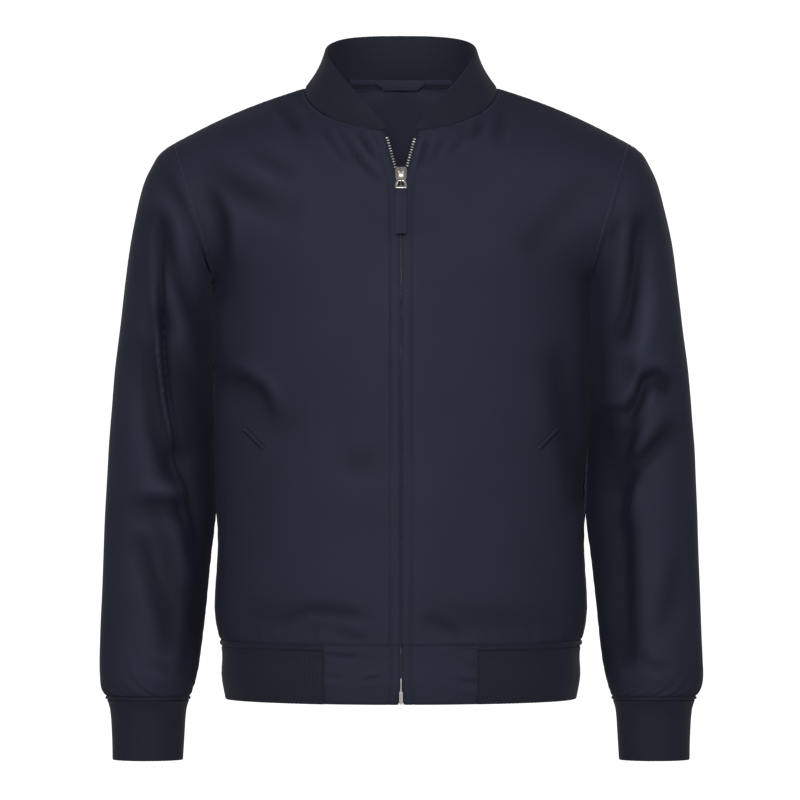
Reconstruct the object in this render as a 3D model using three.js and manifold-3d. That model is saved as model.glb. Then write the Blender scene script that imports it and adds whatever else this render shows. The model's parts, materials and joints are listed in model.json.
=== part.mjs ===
// Bomber jacket, worn shape with no wearer, in millimetres.
// +Z is up and the front faces -Y. The origin is the middle of the shoulder line, where it is worn.
// "left" and "right" are the wearer's: left is at +X.

import * as THREE from 'three';
import { mergeVertices } from 'three/addons/utils/BufferGeometryUtils.js';
import Module from 'manifold-3d';

const wasm = await Module();
wasm.setup();

// Cloth and seams
const SHELL_WALL = 2.0;
const RIB_WALL = 2.4;
const TRIM_WALL = 1.0;
const SEAM_GAP = 0.3;
const LAID_GAP = 0.45;
const RIB_PITCH = 4.75;
const RIB_HEIGHT = 0.9;

// Neck seam, a tilted oval: half width, how far it reaches forward and back, and how far it drops and rises
const NECK_HALF_WIDTH = 101;
const NECK_FRONT_REACH = 80;
const NECK_FRONT_DROP = 48;
const NECK_BACK_REACH = 63;
const NECK_BACK_RISE = 4;
const NECK_OPENING_HALF = 18.5;

// Armhole, an oval from the shoulder point to the underarm
const SHOULDER_POINT = { x: 243, z: -61 };
const UNDERARM_POINT = { x: 197.4, z: -205 };
const ARMHOLE_HALF_DEPTH = 76;
const SHOULDER_ROUNDING = 4.5;
const CHEST_ROUNDING = 12;

// How far round the body a panel turns, in degrees: below the underarm and at the shoulder seam
const BODY_TURN = 90;
const SHOULDER_TURN = 25;

// Heights of the hem
const HEM_SEAM_CENTRE = -581;
const HEM_SEAM_SIDE = -579;
const HEM_EDGE = -641;
const HEM_PANEL_HALF = 81;

// Divisions of the panels
const LOWER_ROWS = 12;
const CENTRE_ROWS = 6;
const NECK_ROWS = 6;
const ARM_ROWS = CENTRE_ROWS + NECK_ROWS;
const HEM_PANEL_COLUMNS = 3;
const PANEL_COLUMNS = 10;
const SLEEVE_ROWS = 22;

// Centre front and centre back: depth at each height
const FRONT_PROFILE = [
  { z: -641, y: -132.9 },
  { z: -617, y: -135.9 },
  { z: -581, y: -137 },
  { z: -530, y: -140 },
  { z: -400, y: -135 },
  { z: -300, y: -138 },
  { z: -225, y: -137 },
  { z: -180, y: -130 },
  { z: -130, y: -115 },
  { z: -93, y: -100.6 },
  { z: -47.2, y: -78.7 },
];
const BACK_PROFILE = [
  { z: -641, y: 118.3 },
  { z: -581, y: 122 },
  { z: -530, y: 128 },
  { z: -380, y: 115 },
  { z: -260, y: 124 },
  { z: -180, y: 131 },
  { z: -110, y: 122 },
  { z: -60, y: 103 },
  { z: -30, y: 85 },
  { z: 4, y: 63 },
];

// Half width of the body at the side seam
const SIDE_PROFILE = [
  { z: -581, x: 189.5 },
  { z: -558, x: 194.5 },
  { z: -538, x: 195.5 },
  { z: -496, x: 193 },
  { z: -454, x: 191.5 },
  { z: -400, x: 193.3 },
  { z: -328, x: 195.4 },
  { z: -260, x: 196.8 },
  { z: -205, x: 197.4 },
];

// Half of the gap between the two front edges: closed by the zip, open at the neck and a little at the hem
const EDGE_PROFILE = [
  { z: -641, x: 2.8 },
  { z: -628, x: 2.3 },
  { z: -611, x: 1.1 },
  { z: -300, x: 1.1 },
  { z: -118, x: 1.2 },
  { z: -104, x: 3 },
  { z: -93, x: 5.4 },
  { z: -84, x: 8.2 },
  { z: -64, x: 13.6 },
  { z: -47.2, x: 18.5 },
];

// The hem pulls the cloth in: how wide it is at each share of the way down from the seam
const HEM_PROFILE = [
  { down: 0, wide: 1 },
  { down: 0.25, wide: 0.988 },
  { down: 0.6, wide: 0.992 },
  { down: 1, wide: 0.97 },
];

// Collar edge, from the front end (0) by the shoulder seam (1) to the centre back (2)
const COLLAR_EDGE = [
  { along: 0, x: 17.6, y: -76.4, z: -42.2 },
  { along: 0.2, x: 26, y: -71, z: -32 },
  { along: 0.4, x: 41, y: -61, z: -12.5 },
  { along: 0.6, x: 59, y: -44, z: 12.5 },
  { along: 0.8, x: 72.8, y: -22.5, z: 34 },
  { along: 1, x: 78, y: -1, z: 41.5 },
  { along: 1.25, x: 73.5, y: 20, z: 48 },
  { along: 1.5, x: 58, y: 37.5, z: 52 },
  { along: 1.75, x: 31, y: 48.7, z: 54.3 },
  { along: 2, x: 0, y: 52, z: 54.6 },
];
const COLLAR_ROLL = 3;
const COLLAR_FULL_WIDTH = 46;

// Sleeve sections: outer and inner points, half depth and how far the section sits forward
const SLEEVE_SECTIONS = [
  { outX: 243, outZ: -61, inX: 197.4, inZ: -205, depth: 76, forward: 0 },
  { outX: 257, outZ: -76, inX: 198.8, inZ: -209, depth: 76.5, forward: 0 },
  { outX: 268.5, outZ: -97, inX: 199.4, inZ: -217, depth: 76.5, forward: 0.5 },
  { outX: 277, outZ: -128, inX: 199.7, inZ: -231, depth: 76, forward: 1 },
  { outX: 284.5, outZ: -165, inX: 199.8, inZ: -253, depth: 75, forward: 1.5 },
  { outX: 290, outZ: -207, inX: 199.7, inZ: -281, depth: 73.5, forward: 2 },
  { outX: 295, outZ: -250, inX: 199.3, inZ: -313, depth: 71.5, forward: 3 },
  { outX: 300, outZ: -292, inX: 198.7, inZ: -345, depth: 69.5, forward: 4 },
  { outX: 303.5, outZ: -332, inX: 197.8, inZ: -378, depth: 67.5, forward: 5.5 },
  { outX: 306.6, outZ: -372, inX: 196.8, inZ: -409, depth: 65.5, forward: 7 },
  { outX: 309, outZ: -415, inX: 196, inZ: -441, depth: 63.5, forward: 9 },
  { outX: 311, outZ: -458, inX: 196.4, inZ: -473, depth: 61.5, forward: 11 },
  { outX: 312.6, outZ: -500, inX: 199.8, inZ: -508, depth: 59, forward: 14 },
  { outX: 314, outZ: -542, inX: 203.6, inZ: -545, depth: 56, forward: 17 },
  { outX: 315, outZ: -580, inX: 207.6, inZ: -580, depth: 53, forward: 20 },
  { outX: 315.3, outZ: -611, inX: 212, inZ: -611, depth: 50.5, forward: 23 },
  { outX: 313.5, outZ: -628, inX: 217, inZ: -628, depth: 47, forward: 24.5 },
  { outX: 309, outZ: -637, inX: 220, inZ: -637, depth: 43.5, forward: 25 },
];

// Cuff sections, from the seam down
const CUFF_SECTIONS = [
  { outX: 309, outZ: -637, inX: 220, inZ: -637, depth: 43.5, forward: 25 },
  { outX: 304, outZ: -651, inX: 224.5, inZ: -651, depth: 37, forward: 25.5 },
  { outX: 302, outZ: -679, inX: 226.5, inZ: -679, depth: 34, forward: 26 },
  { outX: 301.5, outZ: -703.5, inX: 228, inZ: -703.5, depth: 32, forward: 26 },
];

// Largest folds, as soft troughs: where each runs in the front view, how wide and deep it is, and its face
const SLEEVE_FOLDS = [
  { side: -1, face: -1, fromX: -254, fromZ: -150, toX: -251, toZ: -250, width: 17, depth: 6 },
  { side: -1, face: -1, fromX: -251, fromZ: -250, toX: -226, toZ: -388, width: 17, depth: 7.5 },
  { side: -1, face: -1, fromX: -226, fromZ: -388, toX: -208, toZ: -478, width: 16, depth: 6 },
  { side: -1, face: -1, fromX: -271, fromZ: -275, toX: -243, toZ: -400, width: 15, depth: 4 },
  { side: -1, face: -1, fromX: -278, fromZ: -441, toX: -228, toZ: -446, width: 14, depth: 6.5 },
  { side: -1, face: -1, fromX: -270, fromZ: -485, toX: -238, toZ: -580, width: 17, depth: 5 },
  { side: -1, face: 1, fromX: -285, fromZ: -180, toX: -232, toZ: -300, width: 18, depth: 6 },
  { side: -1, face: 1, fromX: -300, fromZ: -400, toX: -222, toZ: -470, width: 17, depth: 6 },
  { side: -1, face: 1, fromX: -290, fromZ: -560, toX: -232, toZ: -520, width: 17, depth: 5 },
  { side: 1, face: -1, fromX: 253, fromZ: -144, toX: 228, toZ: -254, width: 17, depth: 6 },
  { side: 1, face: -1, fromX: 240, fromZ: -300, toX: 279, toZ: -312, width: 14, depth: 6 },
  { side: 1, face: -1, fromX: 243, fromZ: -318, toX: 229, toZ: -400, width: 16, depth: 5.5 },
  { side: 1, face: -1, fromX: 284, fromZ: -360, toX: 251, toZ: -412, width: 15, depth: 5 },
  { side: 1, face: -1, fromX: 229, fromZ: -430, toX: 233, toZ: -590, width: 17, depth: 5.5 },
  { side: 1, face: 1, fromX: 285, fromZ: -190, toX: 230, toZ: -290, width: 18, depth: 6 },
  { side: 1, face: 1, fromX: 225, fromZ: -400, toX: 298, toZ: -450, width: 17, depth: 6 },
  { side: 1, face: 1, fromX: 235, fromZ: -560, toX: 290, toZ: -590, width: 17, depth: 5 },
];
const BODY_FOLDS = [
  { side: -1, face: -1, fromX: -195, fromZ: -90, toX: -120, toZ: -130, width: 18, depth: 4 },
  { side: -1, face: -1, fromX: -198, fromZ: -120, toX: -186, toZ: -215, width: 17, depth: 4.5 },
  { side: -1, face: -1, fromX: -188, fromZ: -300, toX: -132, toZ: -352, width: 18, depth: 5 },
  { side: -1, face: -1, fromX: -150, fromZ: -552, toX: -60, toZ: -556, width: 17, depth: 5 },
  { side: 1, face: -1, fromX: 167, fromZ: -290, toX: 188, toZ: -430, width: 18, depth: 5 },
  { side: 1, face: -1, fromX: 40, fromZ: -556, toX: 150, toZ: -560, width: 17, depth: 4 },
  { side: 1, face: -1, fromX: 195, fromZ: -105, toX: 140, toZ: -165, width: 17, depth: 3.5 },
  { side: -1, face: 1, fromX: -180, fromZ: -330, toX: -60, toZ: -372, width: 20, depth: 5 },
  { side: 1, face: 1, fromX: 182, fromZ: -350, toX: 70, toZ: -392, width: 20, depth: 5 },
  { side: -1, face: 1, fromX: -170, fromZ: -552, toX: -70, toZ: -545, width: 18, depth: 5 },
  { side: 1, face: 1, fromX: 165, fromZ: -548, toX: 40, toZ: -556, width: 18, depth: 5 },
];

// Pocket welts on the fronts, in the front view: outer end high, inner end low
const WELT = { outerX: 163, outerZ: -356, innerX: 142, innerZ: -377, width: 6, gap: 0.85 };

// Zip
const TAPE_WIDTH = 12;
const TAPE_OVERHANG = 0.7;
const TAPE_GAP = 0.8;
const TAPE_END_SHORT = 0.2;
const SLIDER_HEIGHT = -93;
const SLIDER = { top: 5.5, bottom: -6.5, topHalf: 5.6, bottomHalf: 4.4, thick: 1.8, gap: 0.5 };
const PULL_THICK = 1.6;
const PULL_CLEARANCE = 0.5;
const SLIDER_CORNER = { high: 3, wide: 1.6 };
const SLIDER_NECK = { wide: 2, deep: 4.4, high: 8, middle: 1.4 };
const JOIN_OVERLAP = 0.4;
const ARCH = { half: 1.5, reach: 3.4, inside: 2.0, thick: 1.2, clearance: 0.35 };
const PULL_OUTLINE = [
  { z: 0.8, half: 4.4 },
  { z: -5.6, half: 4.8 },
  { z: -10, half: 3.9 },
  { z: -12.8, half: 6.0 },
  { z: -14, half: 6.4 },
  { z: -18.4, half: 6.4 },
  { z: -19.5, half: 5.6 },
];
const PULL_EYE = { top: -0.8, bottom: -6.8, half: 2.2 };
const PULL_LOOP = { top: -14.2, bottom: -16.8, half: 4.7 };
const TAB = { width: 11.5, loopWidth: 8.8, ply: 1.0, gap: 0.35, length: 71, thick: 2.2 };
const TAB_LOOP = { corner: 0.5, ease: 0.6, below: 1, taper: 4, shoulder: 1.6, clear: 8 };
const RETAINER = { half: 1.9, bottom: -640.5, top: -628, pinHalf: 0.55, pinTop: -613, thick: 2.4, proud: 0.6 };

// Neck tape and hanger tab inside the back neck
const NECK_TAPE = { half: 54, low: 0.5, high: 8, inset: 1.4 };
const TAPE_LEAN = { above: 0.2, below: 0.35 };
const HANGER_TAB = { topHalf: 25.5, bottomHalf: 18.5, top: 6.5, bottom: -3.5, stand: 1.6 };

const radians = THREE.MathUtils.degToRad;
const lerp = THREE.MathUtils.lerp;

// Reads a column of a table between its rows, on a smooth curve
function readTable(table, placeColumn, valueColumn, place) {
  const last = table.length - 1;
  const rising = table[last][placeColumn] > table[0][placeColumn];
  const isBefore = (row) => (rising ? table[row + 1][placeColumn] < place : table[row + 1][placeColumn] > place);
  let row = 0;
  while (row < last - 1 && isBefore(row)) row += 1;
  const slope = (from, to) => {
    const run = table[to][placeColumn] - table[from][placeColumn];
    return (table[to][valueColumn] - table[from][valueColumn]) / run;
  };
  const span = table[row + 1][placeColumn] - table[row][placeColumn];
  const share = THREE.MathUtils.clamp((place - table[row][placeColumn]) / span, 0, 1);
  const startSlope = slope(Math.max(row - 1, 0), row + 1) * span;
  const endSlope = slope(row, Math.min(row + 2, last)) * span;
  const square = share * share;
  const cube = square * share;
  return (
    (2 * cube - 3 * square + 1) * table[row][valueColumn] +
    (cube - 2 * square + share) * startSlope +
    (3 * square - 2 * cube) * table[row + 1][valueColumn] +
    (cube - square) * endSlope
  );
}

// How deep the folds are at a point of the front or back view
function foldDepth(folds, side, face, point) {
  let depth = 0;
  for (const fold of folds) {
    if (fold.side !== side || fold.face !== face) continue;
    const runX = fold.toX - fold.fromX;
    const runZ = fold.toZ - fold.fromZ;
    const square = runX * runX + runZ * runZ;
    const along = ((point.x - fold.fromX) * runX + (point.z - fold.fromZ) * runZ) / square;
    const nearest = THREE.MathUtils.clamp(along, 0, 1);
    const awayX = point.x - fold.fromX - runX * nearest;
    const awayZ = point.z - fold.fromZ - runZ * nearest;
    const away = Math.hypot(awayX, awayZ) / fold.width;
    depth += fold.depth * Math.exp(-away * away);
  }
  return depth;
}

// Neck seam at an angle from the shoulder seam (0) towards the centre front or back (90)
function neckPoint(side, face, angle) {
  const turn = radians(angle);
  const reach = face < 0 ? -NECK_FRONT_REACH : NECK_BACK_REACH;
  const rise = face < 0 ? -NECK_FRONT_DROP : NECK_BACK_RISE;
  const x = side * NECK_HALF_WIDTH * Math.cos(turn);
  return new THREE.Vector3(x, reach * Math.sin(turn), rise * Math.sin(turn));
}
const FRONT_NECK_END = THREE.MathUtils.radToDeg(Math.acos(NECK_OPENING_HALF / NECK_HALF_WIDTH));

// Armhole at an angle from the shoulder point (0) to the underarm (180)
function armholePoint(side, face, angle) {
  const share = (1 + Math.cos(radians(angle))) / 2;
  return new THREE.Vector3(
    side * lerp(UNDERARM_POINT.x, SHOULDER_POINT.x, share),
    face * ARMHOLE_HALF_DEPTH * Math.sin(radians(angle)),
    lerp(UNDERARM_POINT.z, SHOULDER_POINT.z, share),
  );
}

// Edge of a body panel on the centre side: centre line, then neck seam
function innerEdge(side, face, row) {
  const neckEnd = face < 0 ? FRONT_NECK_END : 90;
  const neckHeight = neckPoint(side, face, neckEnd).z;
  const armRow = row - LOWER_ROWS;
  if (armRow > CENTRE_ROWS) {
    return neckPoint(side, face, neckEnd * (1 - (armRow - CENTRE_ROWS) / NECK_ROWS));
  }
  const underarm = UNDERARM_POINT.z;
  const lower = lerp(HEM_SEAM_CENTRE, underarm, row / LOWER_ROWS);
  const z = armRow > 0 ? lerp(underarm, neckHeight, armRow / CENTRE_ROWS) : lower;
  if (face > 0) return new THREE.Vector3(0, readTable(BACK_PROFILE, 'z', 'y', z), z);
  const x = side * readTable(EDGE_PROFILE, 'z', 'x', z);
  return new THREE.Vector3(x, readTable(FRONT_PROFILE, 'z', 'y', z), z);
}

// Edge of a body panel on the arm side: side seam, then armhole
function outerEdge(side, face, row) {
  if (row > LOWER_ROWS) return armholePoint(side, face, 180 * (1 - (row - LOWER_ROWS) / ARM_ROWS));
  const z = lerp(HEM_SEAM_SIDE, UNDERARM_POINT.z, row / LOWER_ROWS);
  return new THREE.Vector3(side * readTable(SIDE_PROFILE, 'z', 'x', z), 0, z);
}

// Point of a body panel: row from the hem seam up, share across from the centre to the arm
function bodyPoint(side, face, row, share) {
  const inner = innerEdge(side, face, row);
  const outer = outerEdge(side, face, row);
  if (share === 0) return inner;
  if (share === 1) return outer;
  const upper = Math.max(0, row - LOWER_ROWS) / ARM_ROWS;
  const turn = radians(lerp(BODY_TURN, SHOULDER_TURN, upper));
  const wide = Math.sin(turn * share) / Math.sin(turn);
  const deep = (Math.cos(turn * share) - Math.cos(turn)) / (1 - Math.cos(turn));
  const point = new THREE.Vector3(
    lerp(inner.x, outer.x, wide),
    lerp(outer.y, inner.y, deep),
    lerp(inner.z, outer.z, share),
  );
  point.y += face * CHEST_ROUNDING * Math.sin(Math.PI * upper) * Math.sin(Math.PI * share);
  point.z += SHOULDER_ROUNDING * Math.sin(Math.PI * share) * upper * upper;
  const isInside = row > 0 && upper < 1;
  if (isInside) point.y -= face * foldDepth(BODY_FOLDS, side, face, point);
  return point;
}

// Shares across a front or half back: even steps to the edge of the hem panel, then even steps to the side
function panelShares() {
  const hemPanel = (2 / Math.PI) * Math.asin(HEM_PANEL_HALF / SIDE_PROFILE[0].x);
  const shares = [];
  for (let column = 0; column <= PANEL_COLUMNS; column += 1) {
    const beyond = (column - HEM_PANEL_COLUMNS) / (PANEL_COLUMNS - HEM_PANEL_COLUMNS);
    const isHemPanel = column < HEM_PANEL_COLUMNS;
    shares.push(isHemPanel ? (hemPanel * column) / HEM_PANEL_COLUMNS : lerp(hemPanel, 1, beyond));
  }
  return shares;
}

// Point of the hem straight below a point of the hem seam
function hemPoint(seam, down) {
  const wide = readTable(HEM_PROFILE, 'down', 'wide', down);
  return new THREE.Vector3(seam.x * wide, seam.y * wide, lerp(seam.z, HEM_EDGE, down));
}
const HEM_STEPS = [0, 0.5, 1];

// Front panel rows, from the hem edge of its centre part up to the shoulder seam
function frontRows(side) {
  const shares = panelShares();
  const seam = shares.map((share) => bodyPoint(side, -1, 0, share));
  const rows = [];
  for (let step = HEM_STEPS.length - 1; step > 0; step -= 1) {
    const row = seam.map((point, column) => (column > HEM_PANEL_COLUMNS ? null : hemPoint(point, HEM_STEPS[step])));
    row[0].x = side * readTable(EDGE_PROFILE, 'z', 'x', row[0].z);
    rows.push(row);
  }
  for (let row = 0; row <= LOWER_ROWS + ARM_ROWS; row += 1) {
    rows.push(shares.map((share) => bodyPoint(side, -1, row, share)));
  }
  return rows;
}

// One half of the back panel
function backRows(side) {
  const rows = [];
  for (let row = 0; row <= LOWER_ROWS + ARM_ROWS; row += 1) {
    rows.push(panelShares().map((share) => bodyPoint(side, 1, row, share)));
  }
  return rows;
}

// Rings of a sleeve or cuff through a table of sections
function tubeRows(side, sections, count, folds) {
  const steps = 2 * ARM_ROWS;
  const table = sections.map((section, index) => ({ ...section, index }));
  const read = (column, place) => readTable(table, 'index', column, place);
  const rows = [];
  for (let row = 0; row <= count; row += 1) {
    const place = ((sections.length - 1) * row) / count;
    const ring = [];
    for (let step = 0; step < steps; step += 1) {
      const angle = radians((360 * step) / steps);
      const share = (1 + Math.cos(angle)) / 2;
      const face = Math.sin(angle) > 0 ? -1 : 1;
      const point = new THREE.Vector3(
        side * lerp(read('inX', place), read('outX', place), share),
        -read('depth', place) * Math.sin(angle) - read('forward', place),
        lerp(read('inZ', place), read('outZ', place), share),
      );
      const isInside = row > 0 && row < count;
      const facing = Math.sqrt(Math.abs(Math.sin(angle)));
      if (isInside) point.y -= face * facing * foldDepth(folds, side, face, point);
      ring.push(point);
    }
    rows.push(ring);
  }
  return rows;
}

// Cloth panels. A shell holds its points once each, and its four-sided faces turned outwards.
const seams = new Map();
const placeKey = (point) => point.toArray().map((value) => Math.round(value * 50)).join();

function makeShell(name, wall, patches) {
  const shell = { name, wall, points: [], faces: [], patches: [] };
  const known = new Map();
  const indexOf = (point) => {
    const key = placeKey(point);
    if (!known.has(key)) {
      known.set(key, shell.points.length);
      shell.points.push(point.clone());
    }
    return known.get(key);
  };
  for (const { rows, flip, closed } of patches) {
    const grid = rows.map((row) => row.map((point) => (point ? indexOf(point) : -1)));
    const across = grid[0].length;
    for (let row = 0; row + 1 < grid.length; row += 1) {
      for (let column = 0; column < (closed ? across : across - 1); column += 1) {
        const next = (column + 1) % across;
        const face = [grid[row][column], grid[row][next], grid[row + 1][next], grid[row + 1][column]];
        if (face.includes(-1)) continue;
        shell.faces.push(flip ? [face[0], face[3], face[2], face[1]] : face);
      }
    }
    shell.patches.push({ grid, flip, closed });
  }
  shell.normals = vertexNormals(shell);
  shell.points.forEach((point, index) => {
    const key = placeKey(point);
    if (!seams.has(key)) seams.set(key, []);
    seams.get(key).push({ shell, normal: shell.normals[index] });
  });
  return shell;
}

function faceNormal(points, face) {
  const one = points[face[2]].clone().sub(points[face[0]]);
  const other = points[face[3]].clone().sub(points[face[1]]);
  return one.cross(other);
}

function vertexNormals(shell) {
  const normals = shell.points.map(() => new THREE.Vector3());
  for (const face of shell.faces) {
    const normal = faceNormal(shell.points, face);
    for (const index of face) normals[index].add(normal);
  }
  return normals.map((normal) => normal.normalize());
}

// Edges with a face on one side only, in the direction of that face
function openEdges(shell) {
  const edges = new Map();
  for (const face of shell.faces) {
    const normal = faceNormal(shell.points, face).normalize();
    face.forEach((from, corner) => {
      edges.set(`${from},${face[(corner + 1) % 4]}`, { from, to: face[(corner + 1) % 4], normal });
    });
  }
  return [...edges.values()].filter(({ from, to }) => !edges.has(`${to},${from}`));
}

// Walls that turn less than this share one plane at a seam, and a slanted wall grows no longer than this allows
const SAME_WALL = 0.3;
const LEAST_SLANT = 0.6;

// Outer and inner points of a shell: trimmed by half a seam gap, with walls that meet in one plane at a seam
function fitShell(shell) {
  const inward = shell.points.map(() => []);
  for (const { from, to, normal } of openEdges(shell)) {
    const along = shell.points[to].clone().sub(shell.points[from]).normalize();
    const inside = new THREE.Vector3().crossVectors(normal, along);
    inward[from].push(inside);
    inward[to].push(inside);
  }
  shell.outer = [];
  shell.inner = [];
  shell.through = [];
  shell.points.forEach((point, index) => {
    const normal = shell.normals[index];
    const through = new THREE.Vector3();
    let fold = 0;
    for (const seam of seams.get(placeKey(point))) {
      const agree = normal.dot(seam.normal);
      if (agree > SAME_WALL) through.add(seam.normal);
      else fold = Math.max(fold, (1 - agree) / 2);
    }
    through.normalize();
    const outer = point.clone().addScaledVector(normal, (-fold * SEAM_GAP) / 2);
    if (inward[index].length === 2) {
      const [one, other] = inward[index];
      const shift = (SEAM_GAP / 2) / (1 + one.dot(other));
      outer.addScaledVector(one.clone().add(other), shift);
    }
    const reach = shell.wall / Math.max(LEAST_SLANT, through.dot(normal));
    shell.outer.push(outer);
    shell.inner.push(outer.clone().addScaledVector(through, -reach));
    shell.through.push(through);
  });
}

// Geometry from triangles of points
function geometryOf(points, triangles) {
  const flat = points.flatMap((point) => point.toArray());
  const geometry = new THREE.BufferGeometry();
  geometry.setAttribute('position', new THREE.Float32BufferAttribute(flat, 3));
  geometry.setIndex(triangles.flat());
  geometry.computeVertexNormals();
  return geometry;
}

// Plain cloth wall
function wallGeometry(shell) {
  const count = shell.points.length;
  const triangles = [];
  for (const [a, b, c, d] of shell.faces) {
    triangles.push([a, b, c], [a, c, d]);
    triangles.push([a + count, c + count, b + count], [a + count, d + count, c + count]);
  }
  for (const { from, to } of openEdges(shell)) {
    triangles.push([to, from, from + count], [to, from + count, to + count]);
  }
  return geometryOf([...shell.outer, ...shell.inner], triangles);
}

// Ribbed wall: ridges in the outer points, along the columns, over the plain inside of the shell
function ribbedGeometry(shell) {
  const { grid, flip, closed } = shell.patches[0];
  const across = grid[0].length;
  const spans = closed ? across : across - 1;
  const points = shell.inner.slice();
  const triangles = [];
  const addTriangle = (a, b, c) => triangles.push(flip ? [a, c, b] : [a, b, c]);
  const fine = grid.map(() => []);
  const starts = [];
  const middle = grid[Math.floor(grid.length / 2)];
  let ridge = 0;
  for (let column = 0; column < spans; column += 1) {
    const next = (column + 1) % across;
    const length = shell.outer[middle[column]].distanceTo(shell.outer[middle[next]]);
    const halves = 2 * Math.max(1, Math.round(length / RIB_PITCH));
    starts.push(ridge);
    for (let half = 0; half < halves; half += 1) {
      const lift = ridge % 2 === 1 ? RIB_HEIGHT : 0;
      grid.forEach((row, index) => {
        const place = shell.outer[row[column]].clone().lerp(shell.outer[row[next]], half / halves);
        const through = shell.through[row[column]].clone().lerp(shell.through[row[next]], half / halves);
        fine[index].push(points.push(place.addScaledVector(through, lift)) - 1);
      });
      ridge += 1;
    }
  }
  starts.push(ridge);
  if (!closed) grid.forEach((row, index) => fine[index].push(points.push(shell.outer[row[across - 1]].clone()) - 1));
  const at = (row, column) => fine[row][column % fine[row].length];
  for (let row = 0; row + 1 < grid.length; row += 1) {
    for (let column = 0; column < ridge; column += 1) {
      addTriangle(at(row, column), at(row, column + 1), at(row + 1, column + 1));
      addTriangle(at(row, column), at(row + 1, column + 1), at(row + 1, column));
    }
    for (let column = 0; column < spans; column += 1) {
      const next = (column + 1) % across;
      addTriangle(grid[row][column], grid[row + 1][next], grid[row][next]);
      addTriangle(grid[row][column], grid[row + 1][column], grid[row + 1][next]);
    }
  }
  const top = grid.length - 1;
  for (let column = 0; column < spans; column += 1) {
    const next = (column + 1) % across;
    const centre = (starts[column] + starts[column + 1]) / 2;
    for (let half = starts[column]; half < starts[column + 1]; half += 1) {
      const inside = half < centre ? column : next;
      addTriangle(at(0, half + 1), at(0, half), grid[0][inside]);
      addTriangle(at(top, half), at(top, half + 1), grid[top][inside]);
    }
    addTriangle(at(0, centre), grid[0][column], grid[0][next]);
    addTriangle(at(top, centre), grid[top][next], grid[top][column]);
  }
  if (!closed) {
    for (let row = 0; row < top; row += 1) {
      addTriangle(at(row, 0), at(row + 1, 0), grid[row][0]);
      addTriangle(at(row + 1, 0), grid[row + 1][0], grid[row][0]);
      addTriangle(at(row + 1, ridge), at(row, ridge), grid[row][across - 1]);
      addTriangle(at(row + 1, ridge), grid[row][across - 1], grid[row + 1][across - 1]);
    }
  }
  return geometryOf(points, triangles);
}

// Point on the facets of a patch, moved out (or in from the inside, when lift is negative)
function pointOnPatch(shell, row, column, lift) {
  const { grid } = shell.patches[0];
  const points = lift < 0 ? shell.inner : shell.outer;
  const low = Math.min(Math.floor(row), grid.length - 2);
  const near = Math.min(Math.floor(column), grid[0].length - 2);
  const up = row - low;
  const over = column - near;
  const corner = (rowIndex, columnIndex) => points[grid[rowIndex][columnIndex]];
  const start = corner(low, near).clone();
  const opposite = corner(low + 1, near + 1);
  const side = over >= up ? corner(low, near + 1) : corner(low + 1, near);
  const firstShare = over >= up ? over : up;
  const secondShare = over >= up ? up : over;
  const place = start.clone().addScaledVector(side.clone().sub(start), firstShare);
  place.addScaledVector(opposite.clone().sub(side), secondShare);
  const bottom = shell.normals[grid[low][near]].clone().lerp(shell.normals[grid[low][near + 1]], over);
  const above = shell.normals[grid[low + 1][near]].clone().lerp(shell.normals[grid[low + 1][near + 1]], over);
  return place.addScaledVector(bottom.lerp(above, up).normalize(), lift);
}

// Row and column of a patch at a place in the front view
function findOnPatch(shell, x, z) {
  let best = { away: Infinity, row: 0, column: 0 };
  let row = shell.patches[0].grid.length / 2;
  let column = shell.patches[0].grid[0].length / 2;
  for (let step = 4; step > 0.005; step /= 1.6) {
    for (const [up, over] of [[0, 0], [1, 0], [-1, 0], [0, 1], [0, -1], [1, 1], [-1, -1], [1, -1], [-1, 1]]) {
      const tryRow = THREE.MathUtils.clamp(row + up * step, HEM_STEPS.length, shell.patches[0].grid.length - 1.01);
      const tryColumn = THREE.MathUtils.clamp(column + over * step, 0, PANEL_COLUMNS - 0.01);
      const place = pointOnPatch(shell, tryRow, tryColumn, 0);
      const away = Math.hypot(place.x - x, place.z - z);
      if (away < best.away) best = { away, row: tryRow, column: tryColumn };
    }
    row = best.row;
    column = best.column;
  }
  return best;
}

// Finishes, close to the cloth and metal they stand for
const finishes = {
  shell: { color: 0x23252f, roughness: 0.82, metalness: 0 },
  rib: { color: 0x20222b, roughness: 0.9, metalness: 0 },
  tape: { color: 0x1b1d25, roughness: 0.85, metalness: 0 },
  metal: { color: 0xd8cfc6, roughness: 0.3, metalness: 1 },
};

function makeMesh(name, geometry, finish) {
  const mesh = new THREE.Mesh(geometry, new THREE.MeshStandardMaterial(finishes[finish]));
  mesh.name = name;
  return mesh;
}

const sideName = (side) => (side > 0 ? 'left' : 'right');
const SIDES = [1, -1];

// Body and sleeve panels
const fronts = new Map();
const sleeves = new Map();
const cuffs = new Map();
for (const side of SIDES) {
  const flip = side < 0;
  const front = makeShell(`front_${sideName(side)}`, SHELL_WALL, [{ rows: frontRows(side), flip }]);
  fronts.set(side, front);
  const tube = tubeRows(side, SLEEVE_SECTIONS, SLEEVE_ROWS, SLEEVE_FOLDS);
  sleeves.set(side, makeShell(`sleeve_${sideName(side)}`, SHELL_WALL, [{ rows: tube, flip, closed: true }]));
  const cuff = tubeRows(side, CUFF_SECTIONS, 3, []);
  cuffs.set(side, makeShell(`cuff_${sideName(side)}`, RIB_WALL, [{ rows: cuff, flip, closed: true }]));
}
const back = makeShell('back', SHELL_WALL, SIDES.map((side) => ({ rows: backRows(side), flip: side > 0 })));

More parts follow.
